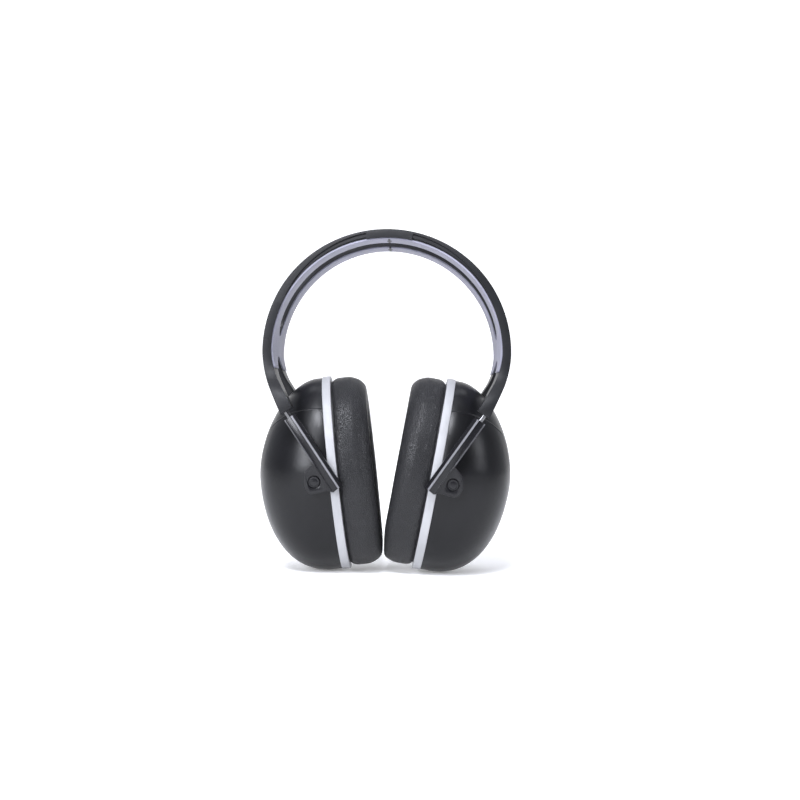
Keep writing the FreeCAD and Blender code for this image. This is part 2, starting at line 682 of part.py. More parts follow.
def cup_shell(hand, lean, sx):
    outer = dome(f"{hand}_dome", sx, Val(0), RING_T)
    hollow = dome(f"{hand}_hollow", sx, SHELL_WALL, RING_T - Val(0.5))
    bosses = []
    holes = []
    for sy, side in ((1, "back"), (-1, "front")):
        low = BOSS_IN if sy > 0 else -BOSS_OUT
        length = BOSS_OUT - BOSS_IN
        bosses.append(cylinder(f"{hand}_{side}_boss", PIN_N * sx, low, -PIN_S, BOSS_R, length))
        holes.append(cylinder(f"{hand}_{side}_boss_hole", PIN_N * sx, low - Val(2), -PIN_S,
                              PIN_R + PIN_GAP, length + Val(4)))
    skin = boolean("Cut", f"{hand}_wall", outer, hollow)
    full = boolean("MultiFuse", f"{hand}_with_bosses", skin, bosses)
    bores = boolean("MultiFuse", f"{hand}_bores", holes[0], [holes[1]])
    shell = boolean("Cut", f"{hand}_cup_shell", full, bores)
    shell.Label = f"{hand}_cup_shell"
    cup_place(shell, lean, sx)
    NODES.append(shell)


def ellipse_ring(label, lean, sx, n, thick, outer, inner):
    """Flat elliptic ring or disc, from n outwards by thick."""
    body = new_body(label)
    start = n if sx > 0 else -n - thick
    # YZ sketches look along +X
    sk = new_sketch(body, "ring_outline", "YZ_Plane", (0, 0, start))
    draw_ellipse(sk, outer[0], outer[1])
    if inner:
        draw_ellipse(sk, inner[0], inner[1])
    f = pad(body, "ring_pad", sk, thick)
    cup_place(body, lean, sx)
    return body, f


def soft_ring(body, sx, base, face, outer, inner, rounding):
    """Cushion-shaped ring: an elliptic ring whose two edges on the sealing face are rounded."""
    sk = new_sketch(body, "cushion_outline", "YZ_Plane", (0, 0, -base * sx))
    draw_ellipse(sk, outer[0], outer[1])
    draw_ellipse(sk, inner[0], inner[1])
    block = pad(body, "cushion_block", sk, face - base, back=(sx > 0))
    doc.recompute()
    edges = []
    for i, e in enumerate(block.Shape.Edges):
        box = e.BoundBox
        if box.XLength < 1e-3 and abs(abs(box.Center.x) - face.v) < 1e-3:
            edges.append(f"Edge{i + 1}")
    rounds = body.newObject("PartDesign::Fillet", "face_rounds")
    rounds.Base = (block, edges)
    bind(rounds, "Radius", rounding)


def plain_body(name):
    return doc.addObject("PartDesign::Body", name)


def cushion(hand, lean, sx):
    base = RING_T + PLATE_T
    skin_outer = (CUSH_A - SKIN_T, CUSH_B - SKIN_T)
    skin_inner = (EAR_A + SKIN_T, EAR_B + SKIN_T)
    core_round = CUSH_ROUND - SKIN_T
    ellipse_ring(f"{hand}_cushion_plate", lean, sx, -base, PLATE_T, skin_outer, skin_inner)
    foam = new_body(f"{hand}_cushion_foam")
    soft_ring(foam, sx, base, CUSH_N - SKIN_T, skin_outer, skin_inner, core_round)
    cup_place(foam, lean, sx)
    whole = plain_body(f"{hand}_skin_form")
    soft_ring(whole, sx, RING_T, CUSH_N, (CUSH_A, CUSH_B), (EAR_A, EAR_B), CUSH_ROUND)
    core = plain_body(f"{hand}_core_form")
    soft_ring(core, sx, base, CUSH_N - SKIN_T, skin_outer, skin_inner, core_round)
    seat = plain_body(f"{hand}_seat_form")
    sk = new_sketch(seat, "seat_outline", "YZ_Plane", (0, 0, -base * sx))
    draw_ellipse(sk, skin_outer[0], skin_outer[1])
    draw_ellipse(sk, skin_inner[0], skin_inner[1])
    pad(seat, "seat_pad", sk, PLATE_T + Val(1), back=(sx < 0))
    hollow = boolean("Cut", f"{hand}_skin_hollow", whole, core)
    cover = boolean("Cut", f"{hand}_skin", hollow, seat)
    cover.Label = f"{hand}_cushion_cover"
    cup_place(cover, lean, sx)
    NODES.append(cover)


for sx, hand, lean in ((1, "right", LEAN_R), (-1, "left", LEAN_L)):
    for sy, side in ((-1, "front"), (1, "rear")):
        slide_rod(hand, side, sx, sy)
        arm_yoke(hand, side, sx, sy)
        pivot_pin(hand, side, lean, sx, sy)
    cup_shell(hand, lean, sx)
    ellipse_ring(f"{hand}_spacer_ring", lean, sx, -RING_T, RING_T * 2, (RING_A, RING_B),
                 (RING_A - RING_RIM, RING_B - RING_RIM))
    cushion(hand, lean, sx)
    lining = dome(f"{hand}_absorber_foam", sx, LINING_GAP, LINING_N)
    lining.Label = f"{hand}_absorber_foam"
    cup_place(lining, lean, sx)
    NODES.append(lining)
    ellipse_ring(f"{hand}_absorber_scrim", lean, sx, LINING_N - SCRIM_T, SCRIM_T, (SCRIM_A, SCRIM_B), None)

doc.recompute()
for obj in doc.Objects:
    bad = [s for s in obj.State if s in ("Invalid", "Error")]
    if bad:
        raise RuntimeError(f"{obj.Label}: {bad}")
for node in NODES:
    if node.Shape.isNull() or not node.Shape.isValid():
        raise RuntimeError(f"{node.Label}: no valid shape")
    node.Shape.exportStep(f"parts/{node.Label}.step")
    box = node.Shape.optimalBoundingBox()
    print(node.Label, round(node.Shape.Volume), [round(x, 1) for x in
          (box.XMin, box.XMax, box.YMin, box.YMax, box.ZMin, box.ZMax)])
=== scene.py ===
import math
from contextlib import contextmanager

import bmesh
import bpy
from mathutils import Matrix, Vector


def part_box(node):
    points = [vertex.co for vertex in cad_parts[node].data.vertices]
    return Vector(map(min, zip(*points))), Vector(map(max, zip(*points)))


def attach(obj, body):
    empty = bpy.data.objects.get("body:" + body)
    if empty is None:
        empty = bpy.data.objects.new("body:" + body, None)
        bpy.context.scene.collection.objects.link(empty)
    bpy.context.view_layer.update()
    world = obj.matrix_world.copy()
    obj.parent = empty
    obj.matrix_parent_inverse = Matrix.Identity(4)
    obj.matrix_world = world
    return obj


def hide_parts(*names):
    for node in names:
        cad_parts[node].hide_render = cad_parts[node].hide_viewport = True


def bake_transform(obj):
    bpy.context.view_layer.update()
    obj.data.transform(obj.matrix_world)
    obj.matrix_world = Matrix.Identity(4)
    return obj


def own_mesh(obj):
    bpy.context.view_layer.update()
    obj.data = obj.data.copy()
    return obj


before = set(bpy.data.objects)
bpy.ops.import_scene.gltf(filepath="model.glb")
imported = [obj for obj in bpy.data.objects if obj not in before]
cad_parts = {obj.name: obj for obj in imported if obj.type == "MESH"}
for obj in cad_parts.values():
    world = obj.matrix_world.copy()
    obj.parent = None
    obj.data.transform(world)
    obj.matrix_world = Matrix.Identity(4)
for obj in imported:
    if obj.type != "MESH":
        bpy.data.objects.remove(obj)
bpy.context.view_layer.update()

bl_info = {
    "name": "Hearing Protection Earmuffs",
    "version": (1, 0, 0),
    "blender": (4, 5, 0),
    "location": "View3D > Sidebar > Earmuffs",
    "description": "Models twin-band earmuffs piece by piece round a packed mechanical frame",
    "category": "Add Mesh",
}

HANDS = {"right": 1, "left": -1}
SIDES = {"front": -1, "rear": 1}


# ------------------------------------------------------------------ sizes and colours

def length(name, text, default):
    return bpy.props.FloatProperty(name=name, description=text, default=default, precision=5, unit="LENGTH")


def angle(name, text, degrees):
    return bpy.props.FloatProperty(name=name, description=text, default=math.radians(degrees),
                                   subtype="ANGLE", unit="ROTATION")


def share(name, text, default):
    return bpy.props.FloatProperty(name=name, description=text, default=default, min=0.0, max=1.0,
                                   subtype="FACTOR")


def colour(name, text, default):
    return bpy.props.FloatVectorProperty(name=name, description=text, default=default, size=3,
                                         min=0.0, max=1.0, subtype="COLOR")


class EarmuffBandSizes(bpy.types.PropertyGroup):
    arch_r: length("Arch Radius", "Middle of the band's thickness over the head", 0.0641)
    arch_z: length("Arch Centre", "Height of the arch's centre", 0.1207)
    knee_r: length("Upper Leg Radius", "First bend below the arch", 0.0535)
    knee_a: angle("Upper Leg Angle", "Turn of the first bend", 18.0)
    shin_r: length("Lower Leg Radius", "Second bend", 0.036)
    leg_a: angle("Leg Angle", "Slope of leg end, rod and arm from the vertical", 34.5)
    foot: length("Leg Straight", "Straight end of each leg", 0.00825)
    outward: length("Outer Offset", "Middle line to the outer face", 0.0025)
    inward: length("Inner Offset", "Middle line to the inner face", 0.0021)
    leg_out: length("Leg Outer Side", "Middle line to the outer face, below the bend", 0.0016)
    leg_in: length("Leg Inner Side", "Middle line to the inner face, below the bend", 0.0039)
    end_out: length("Leg End Outer Side", "Middle line to the outer face at the end", 0.0031)
    end_in: length("Leg End Inner Side", "Middle line to the inner face at the end", 0.0040)
    bend_out: length("Outer Bend Radius", "Outer face, from the arch to the straight leg", 0.0456)
    bend_in: length("Inner Bend Radius", "Inner face, from the arch to the straight leg", 0.0395)
    crown_d: length("Crown Half Depth", "Both bands together at the crown", 0.026)
    shoulder_d: length("Shoulder Half Depth", "Both bands together at the shoulder", 0.0295)
    shoulder_z: length("Shoulder Height", "Where the full depth is reached", 0.1508)
    spread_z: length("Leg Spread Height", "Where the legs begin to spread", 0.1168)
    spread_end: length("Leg Spread End", "Where the legs are upright again", 0.0888)
    foot_out: length("Leg End Outer Depth", "Outer face of a leg's end", 0.0406)
    foot_in: length("Leg End Inner Depth", "Inner face of a leg's end", 0.0339)
    slot: length("Slot Half Depth", "Slot between the two bands", 0.009)
    slot_z: length("Slot End Height", "Lower end of the slot", 0.1313)
    fork_r: length("Fork Radius", "Round top of the fork between the legs", 0.009)
    fork_z: length("Fork Height", "Centre of that round", 0.1083)
    fork_a: angle("Fork Flare", "From the round to the legs' inner edges", 42.0)
    edge: length("Edge Round", "Rounding of the moulding's edges", 0.00045)
    block: length("Crown Block Half", "Half the length of the full block at the crown", 0.0125)
    relief: length("Face Relief", "How far the faces beside the block are set back", 0.0008)
    liner: length("Liner Thickness", "Soft liner on the inner face", 0.0007)
    liner_end: length("Liner End Height", "Lower end of the liner on each leg", 0.1115)
    liner_inset: length("Liner Inset", "Band edge left bare round the liner", 0.0012)


class EarmuffArmSizes(bpy.types.PropertyGroup):
    rod_y: length("Rod Depth", "Rod axis in front of and behind the middle", 0.0374)
    rod_r: length("Rod Radius", "Steel slide rod", 0.0013)
    top: length("Guide Top", "Gap between leg end and arm guide", 0.0036)
    end: length("Guide End", "Lower end of the guide", 0.0489)
    outer: length("Guide Outer Side", "Side away from the head", 0.0032)
    head: length("Guide Head Side", "Side towards the head", 0.0033)
    inner_y: length("Guide Inner Depth", "Face to the cup", 0.0349)
    floor_y: length("Guide Floor Depth", "Outer face between the lips", 0.0397)
    ear_in: length("Ear Inner Depth", "Inner face of the pivot ear", 0.0359)
    ear_out: length("Ear Outer Depth", "Outer face of the pivot ear", 0.0389)
    pin_u: length("Pin Along", "Pivot along the rod from the leg's end", 0.0392)
    pin_v: length("Pin Across", "Pivot square to the rod", 0.008)
    pin_r: length("Pin Radius", "Shank of the pivot pin", 0.002)
    cap_r: length("Cap Radius", "Visible cap of the pivot pin", 0.0029)
    sink_r: length("Sink Radius", "Ring sunk round the cap", 0.0035)
    cap_y: length("Cap Depth", "Outer face of the cap", 0.0393)
    shank_y: length("Shank Depth", "Inner end of the shank", 0.0294)


class EarmuffCupSizes(bpy.types.PropertyGroup):
    lean_right: angle("Right Lean", "Right cup, bottom towards the head", 9.5)
    lean_left: angle("Left Lean", "Left cup, bottom towards the head", 7.3)
    ring_t: length("Ring Half Thickness", "Spacer ring", 0.0023)
    ring_a: length("Ring Half Height", "Spacer ring, outside", 0.054)
    ring_b: length("Ring Half Depth", "Spacer ring, outside", 0.0345)
    ring_rim: length("Ring Rim", "Width of the spacer ring", 0.0046)
    shell_n: length("Shell Depth", "From the ring's middle outwards", 0.0429)
    shell_flat: length("Shell Straight", "Straight side before the dome", 0.006)
    shell_top: length("Shell Half Top", "Shell above the middle", 0.0534)
    shell_bottom: length("Shell Half Bottom", "Shell below the middle", 0.0536)
    shell_b: length("Shell Half Depth", "Shell front and back", 0.034)
    wall: length("Shell Wall", "Moulded wall", 0.0026)
    boss_r: length("Boss Radius", "Pivot boss in the shell's wall", 0.0046)
    pin_n: length("Ring To Pin", "Pivot outwards of the ring's middle", 0.0099)
    pin_s: length("Ring Above Pin", "Ring's middle above the pivot", 0.0018)
    crease_r: length("Crease Radius", "Parting crease round the pivot", 0.0385)
    cushion_a: length("Cushion Half Height", "Cushion at the ring", 0.0516)
    cushion_b: length("Cushion Half Depth", "Cushion at the ring", 0.0326)
    cushion_n: length("Cushion Face", "Sealing face from the ring's middle", 0.0204)
    ear_a: length("Ear Opening Half Height", "Opening for the ear", 0.035)
    ear_b: length("Ear Opening Half Depth", "Opening for the ear", 0.021)
    proud: length("Cushion Swell", "Cushion standing proud of its plate all round", 0.0007)
    bulge: length("Cushion Bulge", "Face swollen towards the head", 0.0012)
    fill: share("Cushion Fill", "How full the cushions are", 0.8)
    lining_gap: length("Absorber Inset", "Foam inside the shell's outer face", 0.006)
    lining_n: length("Absorber Start", "Front of the foam", 0.0055)
    scrim_a: length("Scrim Half Height", "Cloth over the foam", 0.0466)
    scrim_b: length("Scrim Half Depth", "Cloth over the foam", 0.0272)


class EarmuffColours(bpy.types.PropertyGroup):
    band: colour("Band", "Moulded headband", (0.0095, 0.0098, 0.0112))
    liner: colour("Liner", "Soft liner under the bands", (0.23, 0.23, 0.29))
    shell: colour("Shell", "Cup shells", (0.0042, 0.0043, 0.0052))
    arm: colour("Arm", "Arms and pivot caps", (0.0055, 0.0055, 0.0068))
    # Painted highlight: this lighter colour on the arm lips' tops stands in for light catching their edges, not
    # polish from handling.
    lip_highlight: colour("Rubbed Edge", "Arm lips where they are polished by handling", (0.17, 0.17, 0.185))
    ring: colour("Ring", "Spacer rings", (0.335, 0.338, 0.352))
    steel: colour("Steel", "Slide rods and springs", (0.13, 0.13, 0.135))
    skin: colour("Cushion", "Grained cushion skin", (0.0095, 0.0096, 0.0110))
    foam: colour("Absorber", "Open-cell absorber", (0.05, 0.05, 0.054))
    scrim: colour("Scrim", "Cloth over the absorber", (0.025, 0.025, 0.028))


# ------------------------------------------------------------------ the bench: edit-mode tools

def clear_selection():
    if bpy.context.mode != "OBJECT":
        bpy.ops.object.mode_set(mode="OBJECT")
    bpy.ops.object.select_all(action="DESELECT")


def take(obj):
    """Makes obj the only selected and active object."""
    clear_selection()
    obj.select_set(True)
    bpy.context.view_layer.objects.active = obj
    return obj


@contextmanager
def editing(obj):
    take(obj)
    bpy.ops.object.mode_set(mode="EDIT")
    yield bmesh.from_edit_mesh(obj.data)
    bpy.ops.object.mode_set(mode="OBJECT")


def pick(obj, test, kind="VERT"):
    """Selects, in edit mode, the vertices, edges or faces whose middle passes test."""
    bpy.ops.mesh.select_mode(type=kind)
    bpy.ops.mesh.select_all(action="DESELECT")
    mesh = bmesh.from_edit_mesh(obj.data)
    group = {"VERT": mesh.verts, "EDGE": mesh.edges, "FACE": mesh.faces}[kind]
    found = 0
    for part in group:
        if kind == "VERT":
            middle = part.co
        else:
            middle = sum((v.co for v in part.verts), Vector()) / len(part.verts)
        if test(middle):
            part.select_set(True)
            found += 1
    mesh.select_flush(True)
    bmesh.update_edit_mesh(obj.data)
    return found


def slide(vector):
    return {"value": tuple(vector), "orient_type": "GLOBAL"}


def new_piece(name):
    obj = bpy.context.object
    obj.name = name
    obj.data.name = name
    return obj


def fix_place():
    bpy.ops.object.transform_apply(location=True, rotation=True, scale=True)


def tidy_faces(obj):
    with editing(obj):
        bpy.ops.mesh.select_all(action="SELECT")
        bpy.ops.mesh.remove_doubles(threshold=1e-6)
        bpy.ops.mesh.normals_make_consistent(inside=False)
    return obj


def modify(obj, kind, **settings):
    """Adds a modifier, sets it and applies it."""
    take(obj)
    m = obj.modifiers.new(kind.title(), kind)
    for key, value in settings.items():
        setattr(m, key, value)
    bpy.ops.object.modifier_apply(modifier=m.name)
    return obj


def join_or_cut(obj, tool, operation):
    modify(obj, "BOOLEAN", operation=operation, object=tool, solver="EXACT")
    bpy.data.objects.remove(tool)
    return obj


def soften(obj, width, segments=2, over=28.0):
    """Rounds every edge sharper than the given angle, then shades the piece."""
    modify(obj, "BEVEL", width=width, segments=segments, limit_method="ANGLE",
           angle_limit=math.radians(over), loop_slide=False, use_clamp_overlap=True)
    return shade(obj)


def shade(obj, over=32.0):
    take(obj)
    bpy.ops.object.shade_smooth_by_angle(angle=math.radians(over))
    return obj


def outline(name, points, depth):
    """Draws a closed outline point by point, fills it, and extrudes it by the vector depth."""
    clear_selection()
    bpy.ops.mesh.primitive_plane_add(size=0.001, location=points[0])
    obj = new_piece(name)
    fix_place()
    with editing(obj):
        bpy.ops.mesh.select_all(action="SELECT")
        bpy.ops.mesh.merge(type="CENTER")
        for a, b in zip(points, points[1:]):
            bpy.ops.mesh.extrude_vertices_move(TRANSFORM_OT_translate=slide(Vector(b) - Vector(a)))
        bpy.ops.mesh.select_all(action="SELECT")
        bpy.ops.mesh.edge_face_add()
        bpy.ops.mesh.extrude_region_move(TRANSFORM_OT_translate=slide(depth))
    return tidy_faces(obj)


def hoops(name, stations, count, close_start=True, close_end=True):
    """Builds a skin of elliptic hoops. A station is (n, up, half height, half depth) along +X."""
    n, up, a, b = stations[0]
    clear_selection()
    bpy.ops.mesh.primitive_circle_add(vertices=count, radius=a, fill_type="NOTHING",
                                      location=(n, 0, up), rotation=(0, math.pi / 2, 0))
    obj = new_piece(name)
    fix_place()
    with editing(obj):
        bpy.ops.mesh.select_all(action="SELECT")
        bpy.ops.transform.resize(value=(1, b / a, 1), center_override=(n, 0, up))
        if close_start:
            bpy.ops.mesh.extrude_edges_move(TRANSFORM_OT_translate=slide((0, 0, 0)))
            bpy.ops.mesh.merge(type="CENTER")
            pick(obj, lambda p: abs(p.x - n) < 1e-9 and (p.y / b) ** 2 + ((p.z - up) / a) ** 2 > 0.5)
        for (n0, u0, a0, b0), (n1, u1, a1, b1) in zip(stations, stations[1:]):
            bpy.ops.mesh.extrude_edges_move(TRANSFORM_OT_translate=slide((n1 - n0, 0, u1 - u0)))
            bpy.ops.transform.resize(value=(1, b1 / b0, a1 / a0), center_override=(n1, 0, u1))
        if close_end:
            bpy.ops.mesh.extrude_edges_move(TRANSFORM_OT_translate=slide((0, 0, 0)))
            bpy.ops.mesh.merge(type="CENTER")
    return obj


def copy_of(obj, name):
    """A copy with its own mesh."""
    take(obj)
    bpy.ops.object.duplicate()
    return new_piece(name)


def mirrored(obj, name, axis):
    """A mirrored copy with its own mesh and its faces turned outwards again."""
    twin = copy_of(obj, name)
    twin.scale = [-1 if i == "XYZ".index(axis) else 1 for i in range(3)]
    fix_place()
    with editing(twin):
        bpy.ops.mesh.select_all(action="SELECT")
        bpy.ops.mesh.flip_normals()
    volume = bmesh.new()
    volume.from_mesh(twin.data)
    if volume.calc_volume(signed=True) < 0:
        with editing(twin):
            bpy.ops.mesh.select_all(action="SELECT")
            bpy.ops.mesh.flip_normals()
    volume.free()
    return twin


def seat(obj, turn, place):
    """Turns a finished shape about Y, puts it in its place, and fixes that in its mesh."""
    take(obj)
    obj.rotation_euler = (0, turn, 0)
    obj.location = place
    fix_place()
    return obj


# ------------------------------------------------------------------ the frame's own places

def band():
    return bpy.context.scene.earmuff_band


def arms():
    return bpy.context.scene.earmuff_arms


def cup():
    return bpy.context.scene.earmuff_cup


def paints():
    return bpy.context.scene.earmuff_colours


def centreline(kind, off):
    """(x, z) of a point of the right leg's line, offset outwards."""
    s = band()
    if kind == "arch":
        return s.arch_r + off, s.arch_z
    cx, cz = s.arch_r - s.knee_r, s.arch_z
    if kind == "knee":
        r, a = s.knee_r + off, s.knee_a
        return cx + r * math.cos(a), cz - r * math.sin(a)
    cx += (s.knee_r - s.shin_r) * math.cos(s.knee_a)
    cz -= (s.knee_r - s.shin_r) * math.sin(s.knee_a)
    r, a = s.shin_r + off, s.leg_a
    x, z = cx + r * math.cos(a), cz - r * math.sin(a)
    if kind == "shin":
        return x, z
    return x - s.foot * math.sin(a), z - s.foot * math.cos(a)


def leg_end():
    """Middle of the right leg's end, where the rod comes out."""
    x, z = centreline("foot", 0.0)
    return Vector((x, 0, z))


def pivot():
    """Right pivot axis, as its place in the XZ plane."""
    s, a = band(), arms()
    foot = leg_end()
    sin, cos = math.sin(s.leg_a), math.cos(s.leg_a)
    return Vector((foot.x - a.pin_u * sin + a.pin_v * cos, 0, foot.z - a.pin_u * cos - a.pin_v * sin))


def cup_frame(hand):
    """(turn about Y, middle of the ring, outward direction) of a cup."""
    s = cup()
    sx = HANDS[hand]
    lean = s.lean_right if sx > 0 else s.lean_left
    p = pivot()
    x = p.x - s.pin_n * math.cos(lean) + s.pin_s * math.sin(lean)
    z = p.z + s.pin_n * math.sin(lean) + s.pin_s * math.cos(lean)
    out = Vector((math.cos(lean) * sx, 0, -math.sin(lean)))
    return lean * sx, Vector((x * sx, 0, z)), out


def into_cup(shape, hand, name):
    """Copies a shape made for the right cup's own frame into either cup."""
    turn, middle, _ = cup_frame(hand)
    piece = copy_of(shape, name) if hand == "right" else mirrored(shape, name, "X")
    return seat(piece, turn, middle)


def give(piece, body, slot, finish, *nodes):
    """Body, finish and CAD nodes of a finished piece; the record slot argument is not used."""
    piece.data.materials.clear()
    piece.data.materials.append(finish)
    for polygon in piece.data.polygons:
        polygon.material_index = 0
    if body:
        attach(piece, body)
    if nodes:
        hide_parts(*nodes)
    return piece


# ------------------------------------------------------------------ finishes

class Wire:
    """A node's socket that takes part in sums."""

    def __init__(self, finish, socket):
        self.finish = finish
        self.socket = socket

    def sum_with(self, operation, *values):
        return self.finish.node("ShaderNodeMath", {"operation": operation}, *values)[0]

    def __add__(self, o):
        return self.sum_with("ADD", self, o)

    def __radd__(self, o):
        return self.sum_with("ADD", o, self)

    def __sub__(self, o):
        return self.sum_with("SUBTRACT", self, o)

    def __rsub__(self, o):
        return self.sum_with("SUBTRACT", o, self)

    def __mul__(self, o):
        return self.sum_with("MULTIPLY", self, o)

    def __rmul__(self, o):
        return self.sum_with("MULTIPLY", o, self)

    def __truediv__(self, o):
        return self.sum_with("DIVIDE", self, o)

    def __rtruediv__(self, o):
        return self.sum_with("DIVIDE", o, self)

    def __pow__(self, o):
        return self.sum_with("POWER", self, o)

    def sin(self):
        return self.sum_with("SINE", self)

    def size(self):
        return self.sum_with("ABSOLUTE", self)

    def step(self, low, high):
        """0 below low, 1 above high, smooth between."""
        return self.finish.node("ShaderNodeMapRange", {"interpolation_type": "SMOOTHSTEP"}, self, low, high)[0]


class Finish:
    """A material under construction."""

    def __init__(self, name):
        self.material = bpy.data.materials.new(name)
        self.start(self.material, "BSDF_PRINCIPLED", "Object")

    def start(self, owner, kind, space):
        owner.use_nodes = True
        self.tree = owner.node_tree
        self.shader = next(n for n in self.tree.nodes if n.type == kind)
        self.place = self.node("ShaderNodeTexCoord")[space]

    def feed(self, socket, value):
        if isinstance(value, Wire):
            self.tree.links.new(value.socket, socket)
        else:
            socket.default_value = value

    def node(self, kind, settings=None, *values, **named):
        """Adds a node: settings first, then values or wires by position or by socket name."""
        node = self.tree.nodes.new(kind)
        for key, value in (settings or {}).items():
            if key == "stops":
                for at, tone in value:
                    stop = node.color_ramp.elements.new(at)
                    stop.color = (tone, tone, tone, 1)
                node.color_ramp.elements.remove(node.color_ramp.elements[0])
                node.color_ramp.elements.remove(node.color_ramp.elements[-1])
            else:
                setattr(node, key, value)
        inputs = [s for s in node.inputs if s.enabled]
        for socket, value in zip(inputs, values):
            self.feed(socket, value)
        for key, value in named.items():
            socket = next(s for s in inputs if s.name == key.replace("_", " "))
            self.feed(socket, value)
        outputs = [s for s in node.outputs if s.enabled]
        wires = {s.name: Wire(self, s) for s in outputs}
        wires[0] = Wire(self, outputs[0])
        return wires

    def noise(self, scale, detail=2.0, rough=0.5, stretch=None):
        where = self.place
        if stretch:
            where = self.node("ShaderNodeMapping", None, Vector=where, Scale=stretch)[0]
        return self.node("ShaderNodeTexNoise", None, Vector=where, Scale=scale, Detail=detail,
                         Roughness=rough)[0]

    def tint(self, base, factor, other):
        """Base colour turned to another one by factor."""
        mix = self.node("ShaderNodeMix", {"data_type": "RGBA"}, Factor=factor, A=(*base, 1), B=(*other, 1))
        self.feed(self.shader.inputs["Base Color"], mix[0])

    def set(self, **named):
        for key, value in named.items():
            self.feed(self.shader.inputs[key.replace("_", " ")], value)

    def bump(self, height, distance, strength=1.0):
        normal = self.node("ShaderNodeBump", None, Strength=strength, Distance=distance, Height=height)
        self.feed(self.shader.inputs["Normal"], normal[0])
        return self.material


class Surroundings(Finish):
    """The studio round the object: bright behind, above and beside it, dim behind the viewer."""

    def __init__(self, world, front, back):
        self.start(world, "BACKGROUND", "Generated")
        axis = self.node("ShaderNodeSeparateXYZ", None, self.place)
        bright = (axis["Y"] + axis["Z"] * 0.3).step(-0.55, 0.55)
        mix = self.node("ShaderNodeMix", {"data_type": "RGBA"}, Factor=bright, A=(front * 0.95, front * 0.97, front * 1.06, 1),
                        B=(back * 0.95, back * 0.97, back * 1.06, 1))
        self.feed(self.shader.inputs["Color"], mix[0])


def scaled(rgb, k):
    return tuple(min(1.0, c * k) for c in rgb)


def moulded(name, rgb, rough, grain, depth, specular=0.5, seam=None):
    """Moulded plastic: fine spark-eroded grain, slight tone changes, faint handling marks, a seam."""
    f = Finish(name)
    cloud = f.noise(45, 3.0)
    grit = f.noise(grain, 2.0, 0.6)
    scuffs = f.noise(900, 4.0, 0.7, (1, 1, 0.12)).step(0.62, 0.72) * f.noise(60, 2.0).step(0.5, 0.65)
    f.tint(scaled(rgb, 0.86), cloud.step(0.3, 0.7) * 0.7 + scuffs * 0.3, scaled(rgb, 1.2))
    f.set(Roughness=rough - 0.04 + cloud * 0.08 + scuffs * 0.07, Specular_IOR_Level=specular)
    height = grit + scuffs * 0.4
    if seam:
        axis = f.node("ShaderNodeSeparateXYZ", None, f.place)
        height = height + (axis["Z"] - seam).step(-0.0003, 0.0003) * axis["X"].size().step(0.03, 0.05) * 2.5
    f.bump(height, depth)
    return f.material


def arm_finish():
    """Glossy arm; its head-side lip, outer lip and tips painted lighter along their tops as a painted highlight.
    """
    s, a = band(), arms()
    f = Finish("arm_black")
    foot = leg_end()
    sin, cos = math.sin(s.leg_a), math.cos(s.leg_a)
    axis = f.node("ShaderNodeSeparateXYZ", None, f.place)
    dx = axis["X"].size() - foot.x
    dz = axis["Z"] - foot.z
    across = dx * cos - dz * sin
    along = dx * -sin - dz * cos
    top = axis["Y"].size().step(a.floor_y + 0.0001, a.floor_y + 0.0004)
    # Painted highlight: these masks lay a lighter colour along the tops of the lips and tips.
    head_lip = (1 - (across + 0.0012).size().step(0.00035, 0.0007)) * top
    outer_lip = across.step(0.0020, 0.0026) * top * (1 - along.step(0.028, 0.033))
    tips = (1 - along.step(0.0040, 0.0048)) * top
    lip_highlight_sum = f.node("ShaderNodeMath", {"operation": "MINIMUM"}, head_lip + outer_lip * 0.3 + tips * 0.3, 1.0)[0]
    lip_highlight_mask = lip_highlight_sum * (0.7 + f.noise(260, 3.0, 0.6) * 0.6)
    grit = f.noise(2600, 2.0, 0.6)
    cloud = f.noise(50, 3.0)
    f.tint(paints().arm, lip_highlight_mask * 0.9, paints().lip_highlight)
    f.set(Roughness=0.24 + cloud * 0.06 + lip_highlight_mask * 0.10, Specular_IOR_Level=0.32)
    f.bump(grit, 0.00002)
    return f.material


def shell_finish(hand):
    """Satin shell with a parting crease round the pivot, a painted highlight along the crease's upper rim, and a
    softly rippled surface.
    """
    s = cup()
    f = Finish(f"{hand}_shell_black")
    p = pivot()
    sx = HANDS[hand]
    axis = f.node("ShaderNodeSeparateXYZ", None, f.place)
    dx = axis["X"] - p.x * sx
    dz = axis["Z"] - p.z
    reach = (dx * dx + dz * dz) ** 0.5
    inside = 1 - reach.step(s.crease_r - 0.00025, s.crease_r + 0.00025)
    upper = dz.step(0.004, 0.014)
    outer = axis["Y"].size().step(0.006, 0.014)
    panel = inside * upper * outer
    lip = (1 - (reach - s.crease_r).size().step(0.0, 0.0005)) * upper * outer
    cloud = f.noise(38, 3.0)
    peel = f.noise(420, 1.0, 0.4)
    grit = f.noise(2600, 2.0, 0.6)
    scuffs = f.noise(700, 4.0, 0.7, (0.2, 1, 1)).step(0.64, 0.74) * f.noise(50, 2.0).step(0.52, 0.66)
    rgb = paints().shell
    # Painted highlight: the thin band along the crease's upper rim (lip) is tinted lighter; its bump below is real
    # relief.
    f.tint(scaled(rgb, 0.85), cloud.step(0.3, 0.7) * 0.6 + scuffs * 0.4 + lip * 0.4, scaled(rgb, 1.5))
    f.set(Roughness=0.27 + cloud * 0.07 + scuffs * 0.08, Specular_IOR_Level=0.27)
    f.bump(peel * 0.05 + grit * 0.04 - panel * 0.6 + lip * 0.25, 0.0006)
    return f.material


